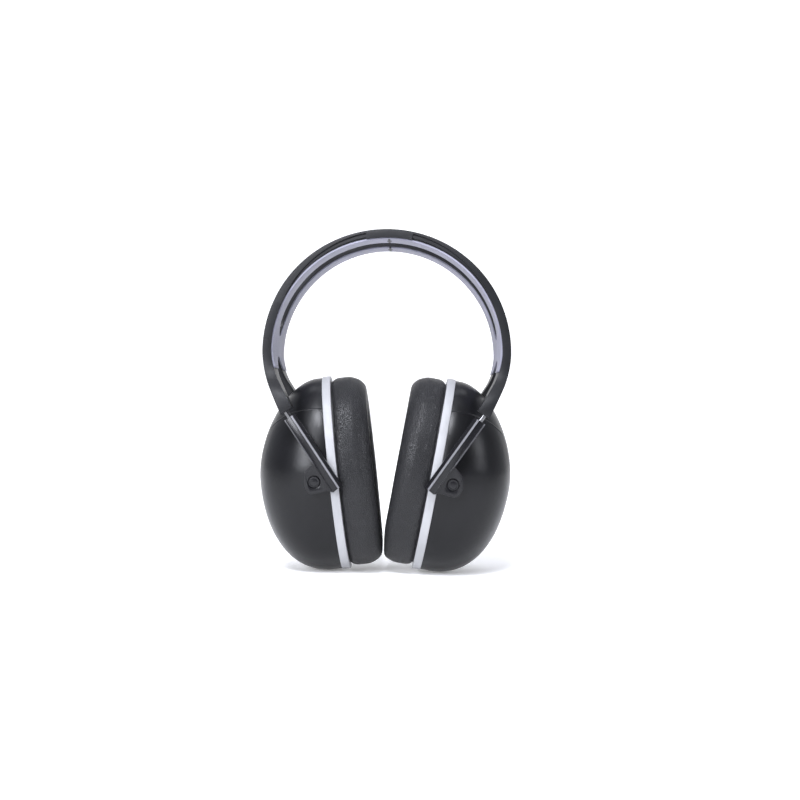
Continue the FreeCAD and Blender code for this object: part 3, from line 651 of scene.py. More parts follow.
def pebbled(name, rgb):
    """Cushion skin: fine pebble grain, painted dark in its valleys as painted shade and lighter on its soft tops
    as painted sheen.
    """
    f = Finish(name)
    cells = f.node("ShaderNodeTexVoronoi", {"feature": "DISTANCE_TO_EDGE"}, Vector=f.place, Scale=1150.0,
                   Randomness=0.95)[0]
    pebble = cells.step(0.0, 0.16)
    cloud = f.noise(55, 3.0)
    pull = f.noise(180, 3.0, 0.6)
    # Painted shade and sheen: the grain's valleys are tinted dark and its tops lighter.
    f.tint(scaled(rgb, 0.55), pebble * 0.75 + cloud.step(0.35, 0.7) * 0.25, scaled(rgb, 1.35))
    f.set(Roughness=0.42 - pebble * 0.08 + cloud * 0.10, Specular_IOR_Level=0.38)
    f.bump(pebble * 0.7 + pull * 0.7 + f.noise(4200, 1.0) * 0.12, 0.00022)
    return f.material


def liner_finish():
    """Soft liner: dull rubbery skin with a fine grain; two small sunk marks at the crown."""
    f = Finish("liner_lavender_grey")
    rgb = paints().liner
    axis = f.node("ShaderNodeSeparateXYZ", None, f.place)
    cloud = f.noise(60, 3.0)
    grit = f.noise(2800, 2.0, 0.6)
    depth = axis["Y"].size() - 0.0172
    across = (1 - axis["X"].size().step(0.0004, 0.0008)) * (1 - depth.size().step(0.0078, 0.0086))
    along = (1 - axis["X"].size().step(0.0011, 0.0015)) * (1 - depth.size().step(0.0016, 0.0024))
    mark = (across + along) * axis["Z"].step(0.170, 0.172)
    tone = f.node("ShaderNodeMath", {"operation": "MINIMUM"}, mark, 1.0)[0]
    dirt = cloud.step(0.35, 0.75)
    mix = f.node("ShaderNodeMix", {"data_type": "RGBA"}, Factor=dirt, A=(*scaled(rgb, 0.9), 1),
                 B=(*scaled(rgb, 1.12), 1))[0]
    dark = f.node("ShaderNodeMix", {"data_type": "RGBA"}, Factor=tone, A=mix, B=(0.006, 0.006, 0.008, 1))[0]
    f.feed(f.shader.inputs["Base Color"], dark)
    f.set(Roughness=0.52 + cloud * 0.12, Specular_IOR_Level=0.4)
    f.bump(grit - tone * 2.0, 0.00009)
    return f.material


def ring_finish():
    """Satin grey spacer ring with faint moulding haze and slightly darker dust specks."""
    f = Finish("ring_light_grey")
    rgb = paints().ring
    cloud = f.noise(70, 3.0)
    speck = f.noise(1500, 3.0, 0.7).step(0.66, 0.78)
    f.tint(scaled(rgb, 0.93), cloud.step(0.3, 0.75) - speck * 0.5, scaled(rgb, 1.1))
    f.set(Roughness=0.42 + cloud * 0.12, Specular_IOR_Level=0.45)
    f.bump(f.noise(2400, 2.0, 0.6), 0.00006)
    return f.material


def steel_finish():
    """Drawn steel rod with lengthwise hairlines."""
    f = Finish("bright_steel")
    rgb = paints().steel
    draw = f.noise(5200, 3.0, 0.6, (1, 1, 0.05))
    cloud = f.noise(300, 2.0)
    f.tint(scaled(rgb, 0.85), cloud, scaled(rgb, 1.15))
    f.set(Metallic=1.0, Roughness=0.10 + draw * 0.10)
    f.bump(draw, 0.00002)
    return f.material


def open_foam():
    """Open-cell foam, its pores painted dark as painted shade."""
    f = Finish("absorber_foam_dark")
    rgb = paints().foam
    cells = f.node("ShaderNodeTexVoronoi", {"feature": "F1"}, Vector=f.place, Scale=1300.0)[0]
    pores = cells.step(0.15, 0.6)
    # Painted shade: the colour is darkened at the pores.
    f.tint(scaled(rgb, 0.35), pores, scaled(rgb, 1.3))
    f.set(Roughness=0.85 + f.noise(80) * 0.1, Specular_IOR_Level=0.25)
    f.bump(pores, 0.0003)
    return f.material


def woven_scrim():
    """Thin plain-woven cloth."""
    f = Finish("scrim_cloth")
    rgb = paints().scrim
    axis = f.node("ShaderNodeSeparateXYZ", None, f.place)
    pitch = 2 * math.pi / 0.0011
    warp = (axis["Y"] * pitch).sin()
    weft = (axis["Z"] * pitch).sin()
    weave = (warp * weft) * 0.5 + 0.5
    f.tint(scaled(rgb, 0.5), weave * 0.8 + f.noise(300) * 0.2, scaled(rgb, 1.6))
    f.set(Roughness=0.82 + f.noise(60) * 0.1, Specular_IOR_Level=0.25)
    f.bump(weave, 0.00025)
    return f.material


FINISHES = {}


def finish(name):
    """Each finish is mixed once and kept."""
    if name not in FINISHES:
        c = paints()
        makers = {
            "band": lambda: moulded("band_charcoal", c.band, 0.42, 2200, 0.00006, 0.2, seam=0.1272),
            "arm": arm_finish,
            "plate": lambda: moulded("plate_black", c.arm, 0.5, 2200, 0.00006),
            "right_shell": lambda: shell_finish("right"),
            "left_shell": lambda: shell_finish("left"),
            "skin": lambda: pebbled("cushion_black", c.skin),
            "liner": liner_finish,
            "ring": ring_finish,
            "steel": steel_finish,
            "foam": open_foam,
            "scrim": woven_scrim,
        }
        FINISHES[name] = makers[name]()
    return FINISHES[name]


# ------------------------------------------------------------------ headband

def band_side(at_arch, at_bend, at_end, bend):
    """One side of the right half: crown to arch end, bend, then straight to the leg's end."""
    s = band()
    over = s.arch_r + at_arch
    line = [Vector((over * math.cos(t), 0, s.arch_z + over * math.sin(t)))
            for t in [math.radians(95)] + [math.radians(94 - 2 * i) for i in range(48)]]
    start = line[-1]
    x, z = centreline("knee", at_bend)
    stop = Vector((x, 0, z))
    chord = stop - start
    half = math.asin(chord.length / 2 / bend)
    across = Vector((chord.z, 0, -chord.x)).normalized()
    centre = (start + stop) / 2 + across * bend * math.cos(half)
    first = start - centre
    for i in range(1, 11):
        line.append(centre + Matrix.Rotation(half * 2 * i / 10, 3, "Y") @ first)
    x, z = centreline("foot", at_end)
    end = Vector((x, 0, z))
    return line + [line[-1].lerp(end, 0.35), line[-1].lerp(end, 0.7), end]


def half_depth(z, inset):
    """Half the depth of both bands together at height z."""
    s = band()
    outer = s.shoulder_d - inset
    foot = s.foot_out - inset
    if z >= s.shoulder_z:
        dy = s.shoulder_d - s.crown_d
        rim = s.arch_z + s.arch_r + s.outward + 0.0001
        dz = rim - s.shoulder_z
        sweep = (dy * dy + dz * dz) / (dy * 2)
        up = min(z, rim) - s.shoulder_z
        return outer - sweep + math.sqrt(sweep * sweep - up * up)
    if z >= s.spread_z:
        return outer
    if z <= s.spread_end:
        return foot
    half_y = (foot - outer) / 2
    half_z = (s.spread_z - s.spread_end) / 2
    bend = (half_y * half_y + half_z * half_z) / (half_y * 2)
    if z >= s.spread_end + half_z:
        return outer + bend - math.sqrt(bend * bend - (s.spread_z - z) ** 2)
    return foot - bend + math.sqrt(bend * bend - (z - s.spread_end) ** 2)


def depth_core(name, inset):
    """All that lies between the front and rear faces, set in by the inset."""
    heights = [0.070] + [0.0845 + 0.0014 * i for i in range(26)] + [0.1245 + 0.0032 * i for i in range(21)]
    sides = [Vector((-0.02, half_depth(z, inset), z)) for z in heights]
    sides += [Vector((-0.02, -half_depth(z, inset), z)) for z in reversed(heights)]
    return outline(name, sides, (0.11, 0, 0))


def sink_crescent(bar, start_r, reach, depth):
    """Sets the lower part of both faces back, from the crown block to where it runs out."""
    s = band()
    first = math.asin(s.block / s.arch_r)
    inner = s.arch_r - s.inward
    turns = [first + (math.radians(reach) - first) * i / 24 for i in range(25)]
    line = []
    for i, t in enumerate(turns):
        r = start_r - (start_r - inner) * (i / 24) ** 1.3
        line.append(Vector((r * math.sin(t), -0.045, s.arch_z + r * math.cos(t))))
    low = inner - 0.003
    line += [Vector((low * math.sin(t), -0.045, s.arch_z + low * math.cos(t))) for t in reversed(turns)]
    tool = outline("crescent_tool", line, (0, 0.09, 0))
    join_or_cut(tool, depth_core("crescent_core", depth), "DIFFERENCE")
    join_or_cut(bar, tool, "DIFFERENCE")
    return bar


def band_form(name, outer, inner, inset, edge):
    """Right half of one layer of the twin band: bent bar, then depth, slot and fork are cut."""
    s = band()
    line = [p + Vector((0, -0.045, 0)) for p in band_side(*outer) + band_side(*inner)[::-1]]
    bar = outline(name, line, (0, 0.09, 0))
    join_or_cut(bar, depth_core("depth_tool", inset), "INTERSECT")
    half = s.slot + inset
    base = s.slot_z - inset + half
    round_end = [math.radians(180 + 180 * i / 20) for i in range(21)]
    slot = [Vector((-0.02, -half, 0.21))]
    slot += [Vector((-0.02, half * math.cos(t), base + half * math.sin(t))) for t in round_end]
    slot += [Vector((-0.02, half, 0.21))]
    join_or_cut(bar, outline("slot_tool", slot, (0.11, 0, 0)), "DIFFERENCE")
    r = s.fork_r + inset
    edge_y = s.foot_in + inset
    drop = (edge_y - r * math.sin(s.fork_a)) * math.tan(s.fork_a)
    corner = s.fork_z + r * math.cos(s.fork_a) - drop
    arc = [math.pi / 2 - s.fork_a + 2 * s.fork_a * i / 16 for i in range(17)]
    fork = [Vector((-0.02, edge_y, 0.06)), Vector((-0.02, edge_y, corner))]
    fork += [Vector((-0.02, r * math.cos(t), s.fork_z + r * math.sin(t))) for t in arc]
    fork += [Vector((-0.02, -edge_y, corner)), Vector((-0.02, -edge_y, 0.06))]
    join_or_cut(bar, outline("fork_tool", fork, (0.11, 0, 0)), "DIFFERENCE")
    soften(bar, edge, 3)
    return bar


def halve(bar, relief=0.0):
    """Sinks the faces beside the crown block, then cuts the bar square at the crown and closes it."""
    if relief:
        sink_crescent(bar, band().arch_r + 0.0013, 66, relief)
        sink_crescent(bar, band().arch_r - 0.0010, 60, relief * 1.8)
    with editing(bar):
        bpy.ops.mesh.select_all(action="SELECT")
        bpy.ops.mesh.bisect(plane_co=(0, 0, 0), plane_no=(1, 0, 0), use_fill=True, clear_inner=True)
    return shade(bar, 40)


def bend_with_side(piece):
    """Fixes the half band's place in its mesh."""
    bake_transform(piece)
    return piece


class EARMUFFS_OT_headband(bpy.types.Operator):
    """Twin-band moulding, one flexing half for each hand"""
    bl_idname = "earmuffs.headband"
    bl_label = "Headband"
    bl_options = {"REGISTER", "UNDO"}

    def execute(self, context):
        s = band()
        half = halve(band_form("right_headband", (s.outward, s.leg_out, s.end_out, s.bend_out),
                               (-s.inward, -s.leg_in, -s.end_in, s.bend_in), 0.0, s.edge), s.relief)
        twin = mirrored(half, "left_headband", "X")
        for hand, piece in (("right", half), ("left", twin)):
            nodes = [f"{hand}_headband_side"] + (["headband_crown"] if hand == "right" else [])
            give(piece, None, "band_plastic", finish("band"), *nodes)
            bend_with_side(piece)
        return {"FINISHED"}


class EARMUFFS_OT_liner(bpy.types.Operator):
    """Soft pale liner on the inner face of the bands and the webs"""
    bl_idname = "earmuffs.liner"
    bl_label = "Liner"
    bl_options = {"REGISTER", "UNDO"}

    def execute(self, context):
        s = band()
        sunk, face = 0.0001, -s.liner
        half = halve(band_form(
            "right_liner", (sunk - s.inward, sunk - s.leg_in, sunk - s.end_in, s.bend_in + sunk),
            (face - s.inward, face - s.leg_in, face - s.end_in, s.bend_in + face), s.liner_inset, 0.0002))
        with editing(half):
            bpy.ops.mesh.select_all(action="SELECT")
            bpy.ops.mesh.bisect(plane_co=(0, 0, s.liner_end), plane_no=(0, 0, 1), use_fill=True,
                                clear_inner=True)
        twin = mirrored(half, "left_liner", "X")
        for hand, piece in (("right", half), ("left", twin)):
            nodes = [f"{hand}_side_liner"] + (["crown_liner"] if hand == "right" else [])
            give(piece, None, "liner_soft", finish("liner"), *nodes)
            bend_with_side(piece)
        return {"FINISHED"}


class EARMUFFS_OT_springs(bpy.types.Operator):
    """Spring steel strips between moulding and liner, one for each half of each band"""
    bl_idname = "earmuffs.springs"
    bl_label = "Spring Strips"
    bl_options = {"REGISTER", "UNDO"}

    def execute(self, context):
        s = band()
        for side, sy in SIDES.items():
            lo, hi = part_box(f"{side}_spring_strip")
            inner = hi.z - s.arch_z - 0.0008
            turns = [math.radians(90 - 76 * i / 38) for i in range(39)]
            line = [Vector((math.cos(t) * (inner + 0.0008), lo.y, s.arch_z + math.sin(t) * (inner + 0.0008)))
                    for t in turns]
            line += [Vector((math.cos(t) * inner, lo.y, s.arch_z + math.sin(t) * inner))
                     for t in reversed(turns)]
            half = outline(f"right_{side}_spring", line, (0, hi.y - lo.y, 0))
            soften(half, 0.00012, 1)
            twin = mirrored(half, f"left_{side}_spring", "X")
            for hand, piece in (("right", half), ("left", twin)):
                give(piece, None, "steel", finish("steel"), *([f"{side}_spring_strip"] if hand == "right" else []))
                bend_with_side(piece)
        return {"FINISHED"}


# ------------------------------------------------------------------ arms

def arm_form():
    """Right front arm: guide with two lips, pivot ear, channel, bore and sunk pin seat."""
    a = arms()
    y0 = -a.rod_y
    fin, floor = -a.inner_y, -a.floor_y
    lip = floor - 0.0005
    section = [
        (a.outer, fin), (a.outer, lip), (a.outer - 0.0006, lip), (a.outer - 0.0007, floor),
        (-0.0006, floor), (-0.0007, lip - 0.0002), (-0.0016, lip - 0.0002), (-a.head, lip + 0.0016),
        (-a.head, fin),
    ]
    guide = outline("arm_guide", [Vector((x, y, -a.end)) for x, y in section], (0, 0, a.end - a.top))
    u, v = a.pin_u, a.pin_v
    ear = [
        (0.002, u - 0.0084), (a.outer, u - 0.0084), (v + 0.0012, u - 0.0070), (v + 0.0020, u - 0.0064),
        (v + 0.0048, u - 0.0026), (v + 0.0054, u - 0.0016), (v + 0.0061, u + 0.0024), (v + 0.0058, u + 0.0036),
        (v + 0.0051, u + 0.0046), (v + 0.0040, u + 0.0052), (v - 0.0032, u + 0.0078),
        (a.outer - 0.0008, a.end + 0.0005), (-0.001, a.end), (-0.001, u),
    ]
    flap = outline("arm_ear", [Vector((x, -a.ear_out, -z)) for x, z in ear], (0, a.ear_out - a.ear_in, 0))
    join_or_cut(guide, flap, "UNION")
    clear_selection()
    bpy.ops.mesh.primitive_cylinder_add(vertices=48, radius=a.sink_r, depth=0.004,
                                        location=(v, -a.ear_out - 0.0013, -u), rotation=(math.pi / 2, 0, 0))
    sink = new_piece("sink_tool")
    fix_place()
    with editing(sink):
        # the seat narrows below the cap into the hole for the shank
        pick(sink, lambda p: p.y > -a.ear_out, "FACE")
        bpy.ops.mesh.inset(thickness=a.sink_r - a.pin_r - 0.0001)
        bpy.ops.mesh.extrude_region_move(TRANSFORM_OT_translate=slide((0, 0.004, 0)))
    join_or_cut(guide, sink, "DIFFERENCE")
    w = 0.0022
    deep = floor + 0.0008
    channel = outline("channel_tool", [Vector((-w, -0.030, -0.0412)), Vector((w, -0.030, -0.0412)),
                                       Vector((w, deep, -0.0412)), Vector((-w, deep, -0.0412))], (0, 0, 0.0326))
    join_or_cut(guide, channel, "DIFFERENCE")
    clear_selection()
    bpy.ops.mesh.primitive_cylinder_add(vertices=32, radius=a.rod_r + 0.00025, depth=0.0068,
                                        location=(0, y0, -0.0060))
    bore = new_piece("bore_tool")
    fix_place()
    with editing(bore):
        # a small countersink at the mouth
        pick(bore, lambda p: p.z > -0.0027, "FACE")
        bpy.ops.transform.translate(value=(0, 0, -0.0010 + (-0.0036 + 0.0026)))
        bpy.ops.mesh.extrude_region_move(TRANSFORM_OT_translate=slide((0, 0, 0.0011)))
        bpy.ops.transform.resize(value=(1.3, 1.3, 1), center_override=(0, y0, -0.0036))
    tidy_faces(bore)
    join_or_cut(guide, bore, "DIFFERENCE")
    return soften(guide, 0.00022, 2)


class EARMUFFS_OT_arms(bpy.types.Operator):
    """Four arms: guide channel with raised edges and pivot ear"""
    bl_idname = "earmuffs.arms"
    bl_label = "Arms"
    bl_options = {"REGISTER", "UNDO"}

    def execute(self, context):
        form = seat(arm_form(), band().leg_a, leg_end())
        rear = mirrored(form, "rear_arm_form", "Y")
        for hand in HANDS:
            for side in SIDES:
                shape = form if side == "front" else rear
                name = f"{hand}_{side}_arm"
                piece = copy_of(shape, name) if hand == "right" else mirrored(shape, name, "X")
                give(piece, f"{hand}_arms", "arm_plastic", finish("arm"), f"{hand}_{side}_yoke")
        for spare in (form, rear):
            bpy.data.objects.remove(spare)
        return {"FINISHED"}


class EARMUFFS_OT_pins(bpy.types.Operator):
    """Four pivot pins with low crowned caps"""
    bl_idname = "earmuffs.pins"
    bl_label = "Pivot Pins"
    bl_options = {"REGISTER", "UNDO"}

    def execute(self, context):
        a = arms()
        p = pivot()
        clear_selection()
        bpy.ops.mesh.primitive_cylinder_add(vertices=48, radius=a.pin_r, depth=a.ear_out - a.shank_y - 0.0007,
                                            location=(p.x, -(a.ear_out - 0.0007 + a.shank_y) / 2, p.z),
                                            rotation=(math.pi / 2, 0, 0))
        pin = new_piece("pin_form")
        fix_place()
        with editing(pin):
            pick(pin, lambda c: c.y < -a.ear_out + 0.0008, "FACE")
            bpy.ops.mesh.extrude_region_move(TRANSFORM_OT_translate=slide((0, 0, 0)))
            bpy.ops.transform.resize(value=(a.cap_r / a.pin_r, 1, a.cap_r / a.pin_r),
                                     center_override=(p.x, 0, p.z))
            bpy.ops.mesh.extrude_region_move(
                TRANSFORM_OT_translate=slide((0, -(a.cap_y - a.ear_out + 0.0007), 0)))
            bpy.ops.mesh.inset(thickness=0.0009)
            bpy.ops.transform.translate(value=(0, 0.00015, 0))
            bpy.ops.mesh.inset(thickness=0.0006)
            bpy.ops.transform.translate(value=(0, -0.00012, 0))
        soften(pin, 0.00018, 2, 20.0)
        rear = mirrored(pin, "rear_pin_form", "Y")
        for hand in HANDS:
            for side in SIDES:
                shape = pin if side == "front" else rear
                name = f"{hand}_{side}_pin"
                piece = copy_of(shape, name) if hand == "right" else mirrored(shape, name, "X")
                give(piece, f"{hand}_arms", "arm_plastic", finish("arm"), f"{hand}_{side}_pivot_pin")
        for spare in (pin, rear):
            bpy.data.objects.remove(spare)
        return {"FINISHED"}


class EARMUFFS_OT_rods(bpy.types.Operator):
    """Steel rods and their stop shoes, kept as they are and given their finish"""
    bl_idname = "earmuffs.rods"
    bl_label = "Rods"
    bl_options = {"REGISTER", "UNDO"}

    def execute(self, context):
        for hand in HANDS:
            for side in SIDES:
                for part, look in (("slide_rod", "steel"), ("rod_stop", "plate")):
                    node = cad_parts[f"{hand}_{side}_{part}"]
                    node.data.materials.clear()
                    node.data.materials.append(finish(look))
        return {"FINISHED"}


# ------------------------------------------------------------------ cups

def dome_stations(shrink, start, count):
    s = cup()
    reach = s.shell_n - s.shell_flat - shrink
    rows = [(start, s.shell_top - shrink, s.shell_bottom - shrink, s.shell_b - shrink)]
    for i in range(count):
        f = math.sin(math.pi / 2 * i / count) ** 1.05
        rows.append((
            s.shell_flat + reach * f,
            (s.shell_top - shrink) * (1 - f ** 1.7) ** (1 / 1.7),
            (s.shell_bottom - shrink) * (1 - f ** 2.3) ** (1 / 2.3),
            (s.shell_b - shrink) * (1 - f ** 2.2) ** (1 / 2.2),
        ))
    stations = [(n, (t - b) / 2, (t + b) / 2, w) for n, t, b, w in rows]
    return stations + [(s.shell_flat + reach, 0.0, 0.0004, 0.0003)]


class EARMUFFS_OT_shells(bpy.types.Operator):
    """Two deep cup shells with pivot bosses"""
    bl_idname = "earmuffs.shells"
    bl_label = "Cup Shells"
    bl_options = {"REGISTER", "UNDO"}

    def execute(self, context):
        s, a = cup(), arms()
        shell = hoops("shell_form", dome_stations(0.0, s.ring_t, 40), 128, close_start=False)
        tidy_faces(shell)
        modify(shell, "SOLIDIFY", thickness=s.wall, offset=-1.0, use_even_offset=True)
        tidy_faces(shell)
        for sy in (1, -1):
            clear_selection()
            bpy.ops.mesh.primitive_cylinder_add(vertices=48, radius=s.boss_r, depth=0.0069,
                                                location=(s.pin_n, 0.03205 * sy, -s.pin_s),
                                                rotation=(math.pi / 2, 0, 0))
            boss = new_piece("boss_tool")
            fix_place()
            join_or_cut(shell, boss, "UNION")
            clear_selection()
            bpy.ops.mesh.primitive_cylinder_add(vertices=32, radius=a.pin_r + 0.0003, depth=0.02,
                                                location=(s.pin_n, 0.032 * sy, -s.pin_s),
                                                rotation=(math.pi / 2, 0, 0))
            hole = new_piece("hole_tool")
            fix_place()
            join_or_cut(shell, hole, "DIFFERENCE")
        soften(shell, 0.0003, 2, 40.0)
        for hand in HANDS:
            piece = into_cup(shell, hand, f"{hand}_shell")
            give(piece, f"{hand}_cup", "shell_plastic", finish(f"{hand}_shell"), f"{hand}_cup_shell")
        bpy.data.objects.remove(shell)
        return {"FINISHED"}


class EARMUFFS_OT_rings(bpy.types.Operator):
    """Two light spacer rings with rounded edges"""
    bl_idname = "earmuffs.rings"
    bl_label = "Spacer Rings"
    bl_options = {"REGISTER", "UNDO"}

    def execute(self, context):
        s = cup()
        t, a, b, rim = s.ring_t, s.ring_a, s.ring_b, s.ring_rim
        loop = [(-t, a, b), (t, a, b), (t, a - rim, b - rim), (-t, a - rim, b - rim), (-t, a, b)]
        ring = hoops("ring_form", [(n, 0.0, h, w) for n, h, w in loop], 160, False, False)
        tidy_faces(ring)
        soften(ring, 0.0004, 3)
        for hand in HANDS:
            piece = into_cup(ring, hand, f"{hand}_ring")
            give(piece, f"{hand}_cup", "ring_plastic", finish("ring"), f"{hand}_spacer_ring")
        bpy.data.objects.remove(ring)
        return {"FINISHED"}


def cushion_start():
    """Slightly slim ring-shaped bag, before it is filled. Built towards -X from the ring."""
    s = cup()
    a, b, n = s.cushion_a + s.proud, s.cushion_b + s.proud, s.cushion_n + s.bulge
    ia, ib = s.ear_a, s.ear_b
    rows = [
        (0.0024, a - 0.0004, b - 0.0004),
        (0.0045, a + 0.0001, b + 0.0001),
        (0.0080, a + 0.0003, b + 0.0003),
        (0.0115, a + 0.0003, b + 0.0003),
        (0.0142, a, b),
        (0.0169, a - 0.0010, b - 0.0010),
        (0.0194, a - 0.0028, b - 0.0026),
        (n - 0.0003, a - 0.0054, b - 0.0046),
        (n - 0.0001, ia + 0.0056, ib + 0.0042),
        (0.0192, ia + 0.0018, ib + 0.0014),
        (0.0150, ia + 0.0004, ib + 0.0004),
        (0.0085, ia + 0.0002, ib + 0.0002),
        (0.0024, ia + 0.0006, ib + 0.0006),
        (0.0024, a - 0.0004, b - 0.0004),
    ]
    bag = hoops("cushion_form", [(-x, 0.0, h, w) for x, h, w in rows], 144, False, False)
    return tidy_faces(bag)


def fill_with_foam(bag):
    """Swells the bag by a short cloth simulation with its seam on the plate held fast."""
    modify(bag, "REMESH", mode="VOXEL", voxel_size=0.0021, adaptivity=0.0)
    start = [v.co.copy() for v in bag.data.vertices]
    held = bag.vertex_groups.new(name="held")
    held.add([v.index for v in bag.data.vertices if v.co.x > -0.0046], 1.0, "REPLACE")
    take(bag)
    m = bag.modifiers.new("Cloth", "CLOTH")
    m.settings.quality = 6
    m.settings.mass = 0.15
    m.settings.use_pressure = True
    m.settings.uniform_pressure_force = 4.0
    m.settings.effector_weights.gravity = 0.0
    m.settings.vertex_group_mass = "held"
    m.settings.tension_stiffness = 20.0
    m.settings.compression_stiffness = 20.0
    m.settings.shear_stiffness = 8.0
    m.settings.bending_stiffness = 0.4
    m.collision_settings.use_collision = False
    scene = bpy.context.scene
    scene.frame_start, scene.frame_end = 1, 20
    m.point_cache.frame_start, m.point_cache.frame_end = 1, 20
    for at in range(1, 21):
        scene.frame_set(at)
    bpy.ops.object.modifier_apply(modifier=m.name)
    scene.frame_set(1)
    limit = 0.0015
    for v, was in zip(bag.data.vertices, start):
        moved = v.co - was
        if moved.length > limit:
            v.co = was + moved.normalized() * limit
    bag.vertex_groups.clear()
    return bag


def press_flat(piece, sx):
    """Where the two cushions meet in the middle, each one is pressed flat by the other."""
    for v in piece.data.vertices:
        gap = v.co.x * sx
        if gap < 0.0012:
            v.co.x = sx * (0.00015 + 0.00105 * math.exp((gap - 0.0012) / 0.00105))
    return piece


class EARMUFFS_OT_cushions(bpy.types.Operator):
    """Two filled cushions: welded seam at the plate, swollen side, soft crease and rounded face"""
    bl_idname = "earmuffs.cushions"
    bl_label = "Cushions"
    bl_options = {"REGISTER", "UNDO"}

    def execute(self, context):
        s = cup()
        bag = cushion_start()
        fill_with_foam(bag)
        # the crease: the skin is drawn in a little where side and face panels are welded
        middle = 0.0150
        for v in bag.data.vertices:
            x = -v.co.x
            reach = math.hypot(v.co.y / s.cushion_b, v.co.z / s.cushion_a)
            if reach > 0.86:
                dip = math.exp(-((x - middle) / 0.0007) ** 2) * 0.00032
                swell = math.exp(-((x - middle + 0.0019) / 0.0012) ** 2) * 0.00022
                k = 1 - (dip - swell) / max(math.hypot(v.co.y, v.co.z), 1e-6)
                v.co.y *= k
                v.co.z *= k
        modify(bag, "SUBSURF", levels=1, render_levels=1)
        shade(bag, 180)
        for hand in HANDS:
            _, centre, out = cup_frame(hand)
            piece = into_cup(bag, hand, f"{hand}_cushion")
            press_flat(piece, HANDS[hand])
            give(piece, f"{hand}_cup", "cushion_skin", finish("skin"), f"{hand}_cushion_cover",
                 f"{hand}_cushion_foam")
            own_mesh(piece)
        bpy.data.objects.remove(bag)
        return {"FINISHED"}


class EARMUFFS_OT_absorbers(bpy.types.Operator):
    """Absorbing foam and the cloth over it, seen through the opening for the ear"""
    bl_idname = "earmuffs.absorbers"
    bl_label = "Absorbers"
    bl_options = {"REGISTER", "UNDO"}

    def execute(self, context):
        s = cup()
        foam = hoops("foam_form", dome_stations(s.lining_gap, s.lining_n, 16), 72)
        tidy_faces(foam)
        modify(foam, "BEVEL", width=0.0018, segments=3, limit_method="ANGLE", angle_limit=math.radians(60))
        shade(foam, 60)
        a, b, n = s.scrim_a, s.scrim_b, s.lining_n
        rows = [
            (n - 0.0014, a * 0.12, b * 0.12), (n - 0.0013, a * 0.35, b * 0.35), (n - 0.0012, a * 0.6, b * 0.6),
            (n - 0.0010, a * 0.82, b * 0.82), (n - 0.0008, a * 0.95, b * 0.95), (n - 0.0004, a, b),
            (n - 0.0001, a - 0.0001, b - 0.0001), (n - 0.0001, a - 0.002, b - 0.002),
            (n - 0.0002, a * 0.8, b * 0.8), (n - 0.0003, a * 0.4, b * 0.4),
        ]
        cloth = hoops("scrim_form", [(x, 0.0, h, w) for x, h, w in rows], 96)
        tidy_faces(cloth)
        modify(cloth, "SUBSURF", levels=1, render_levels=1)
        shade(cloth, 60)
        for hand in HANDS:
            pad = into_cup(foam, hand, f"{hand}_absorber")
            give(pad, f"{hand}_cup", "absorber", finish("foam"), f"{hand}_absorber_foam")
            skin = into_cup(cloth, hand, f"{hand}_scrim")
            give(skin, f"{hand}_cup", "absorber", finish("scrim"), f"{hand}_absorber_scrim")
            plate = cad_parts[f"{hand}_cushion_plate"]
            plate.data.materials.clear()
            plate.data.materials.append(finish("plate"))
        for spare in (foam, cloth):
            bpy.data.objects.remove(spare)
        return {"FINISHED"}


# ------------------------------------------------------------------ stage

def soft_box(name, place, target, size, watts, tone=(1.0, 1.0, 1.0)):
    clear_selection()
    bpy.ops.object.light_add(type="AREA", location=place)
    lamp = bpy.context.object
    lamp.name = name
    lamp.data.shape = "RECTANGLE"
    lamp.data.size, lamp.data.size_y = size
    lamp.data.energy = watts
    lamp.data.color = tone
    lamp.rotation_mode = "QUATERNION"
    lamp.rotation_quaternion = (Vector(target) - Vector(place)).to_track_quat("-Z", "Y")
    return lamp


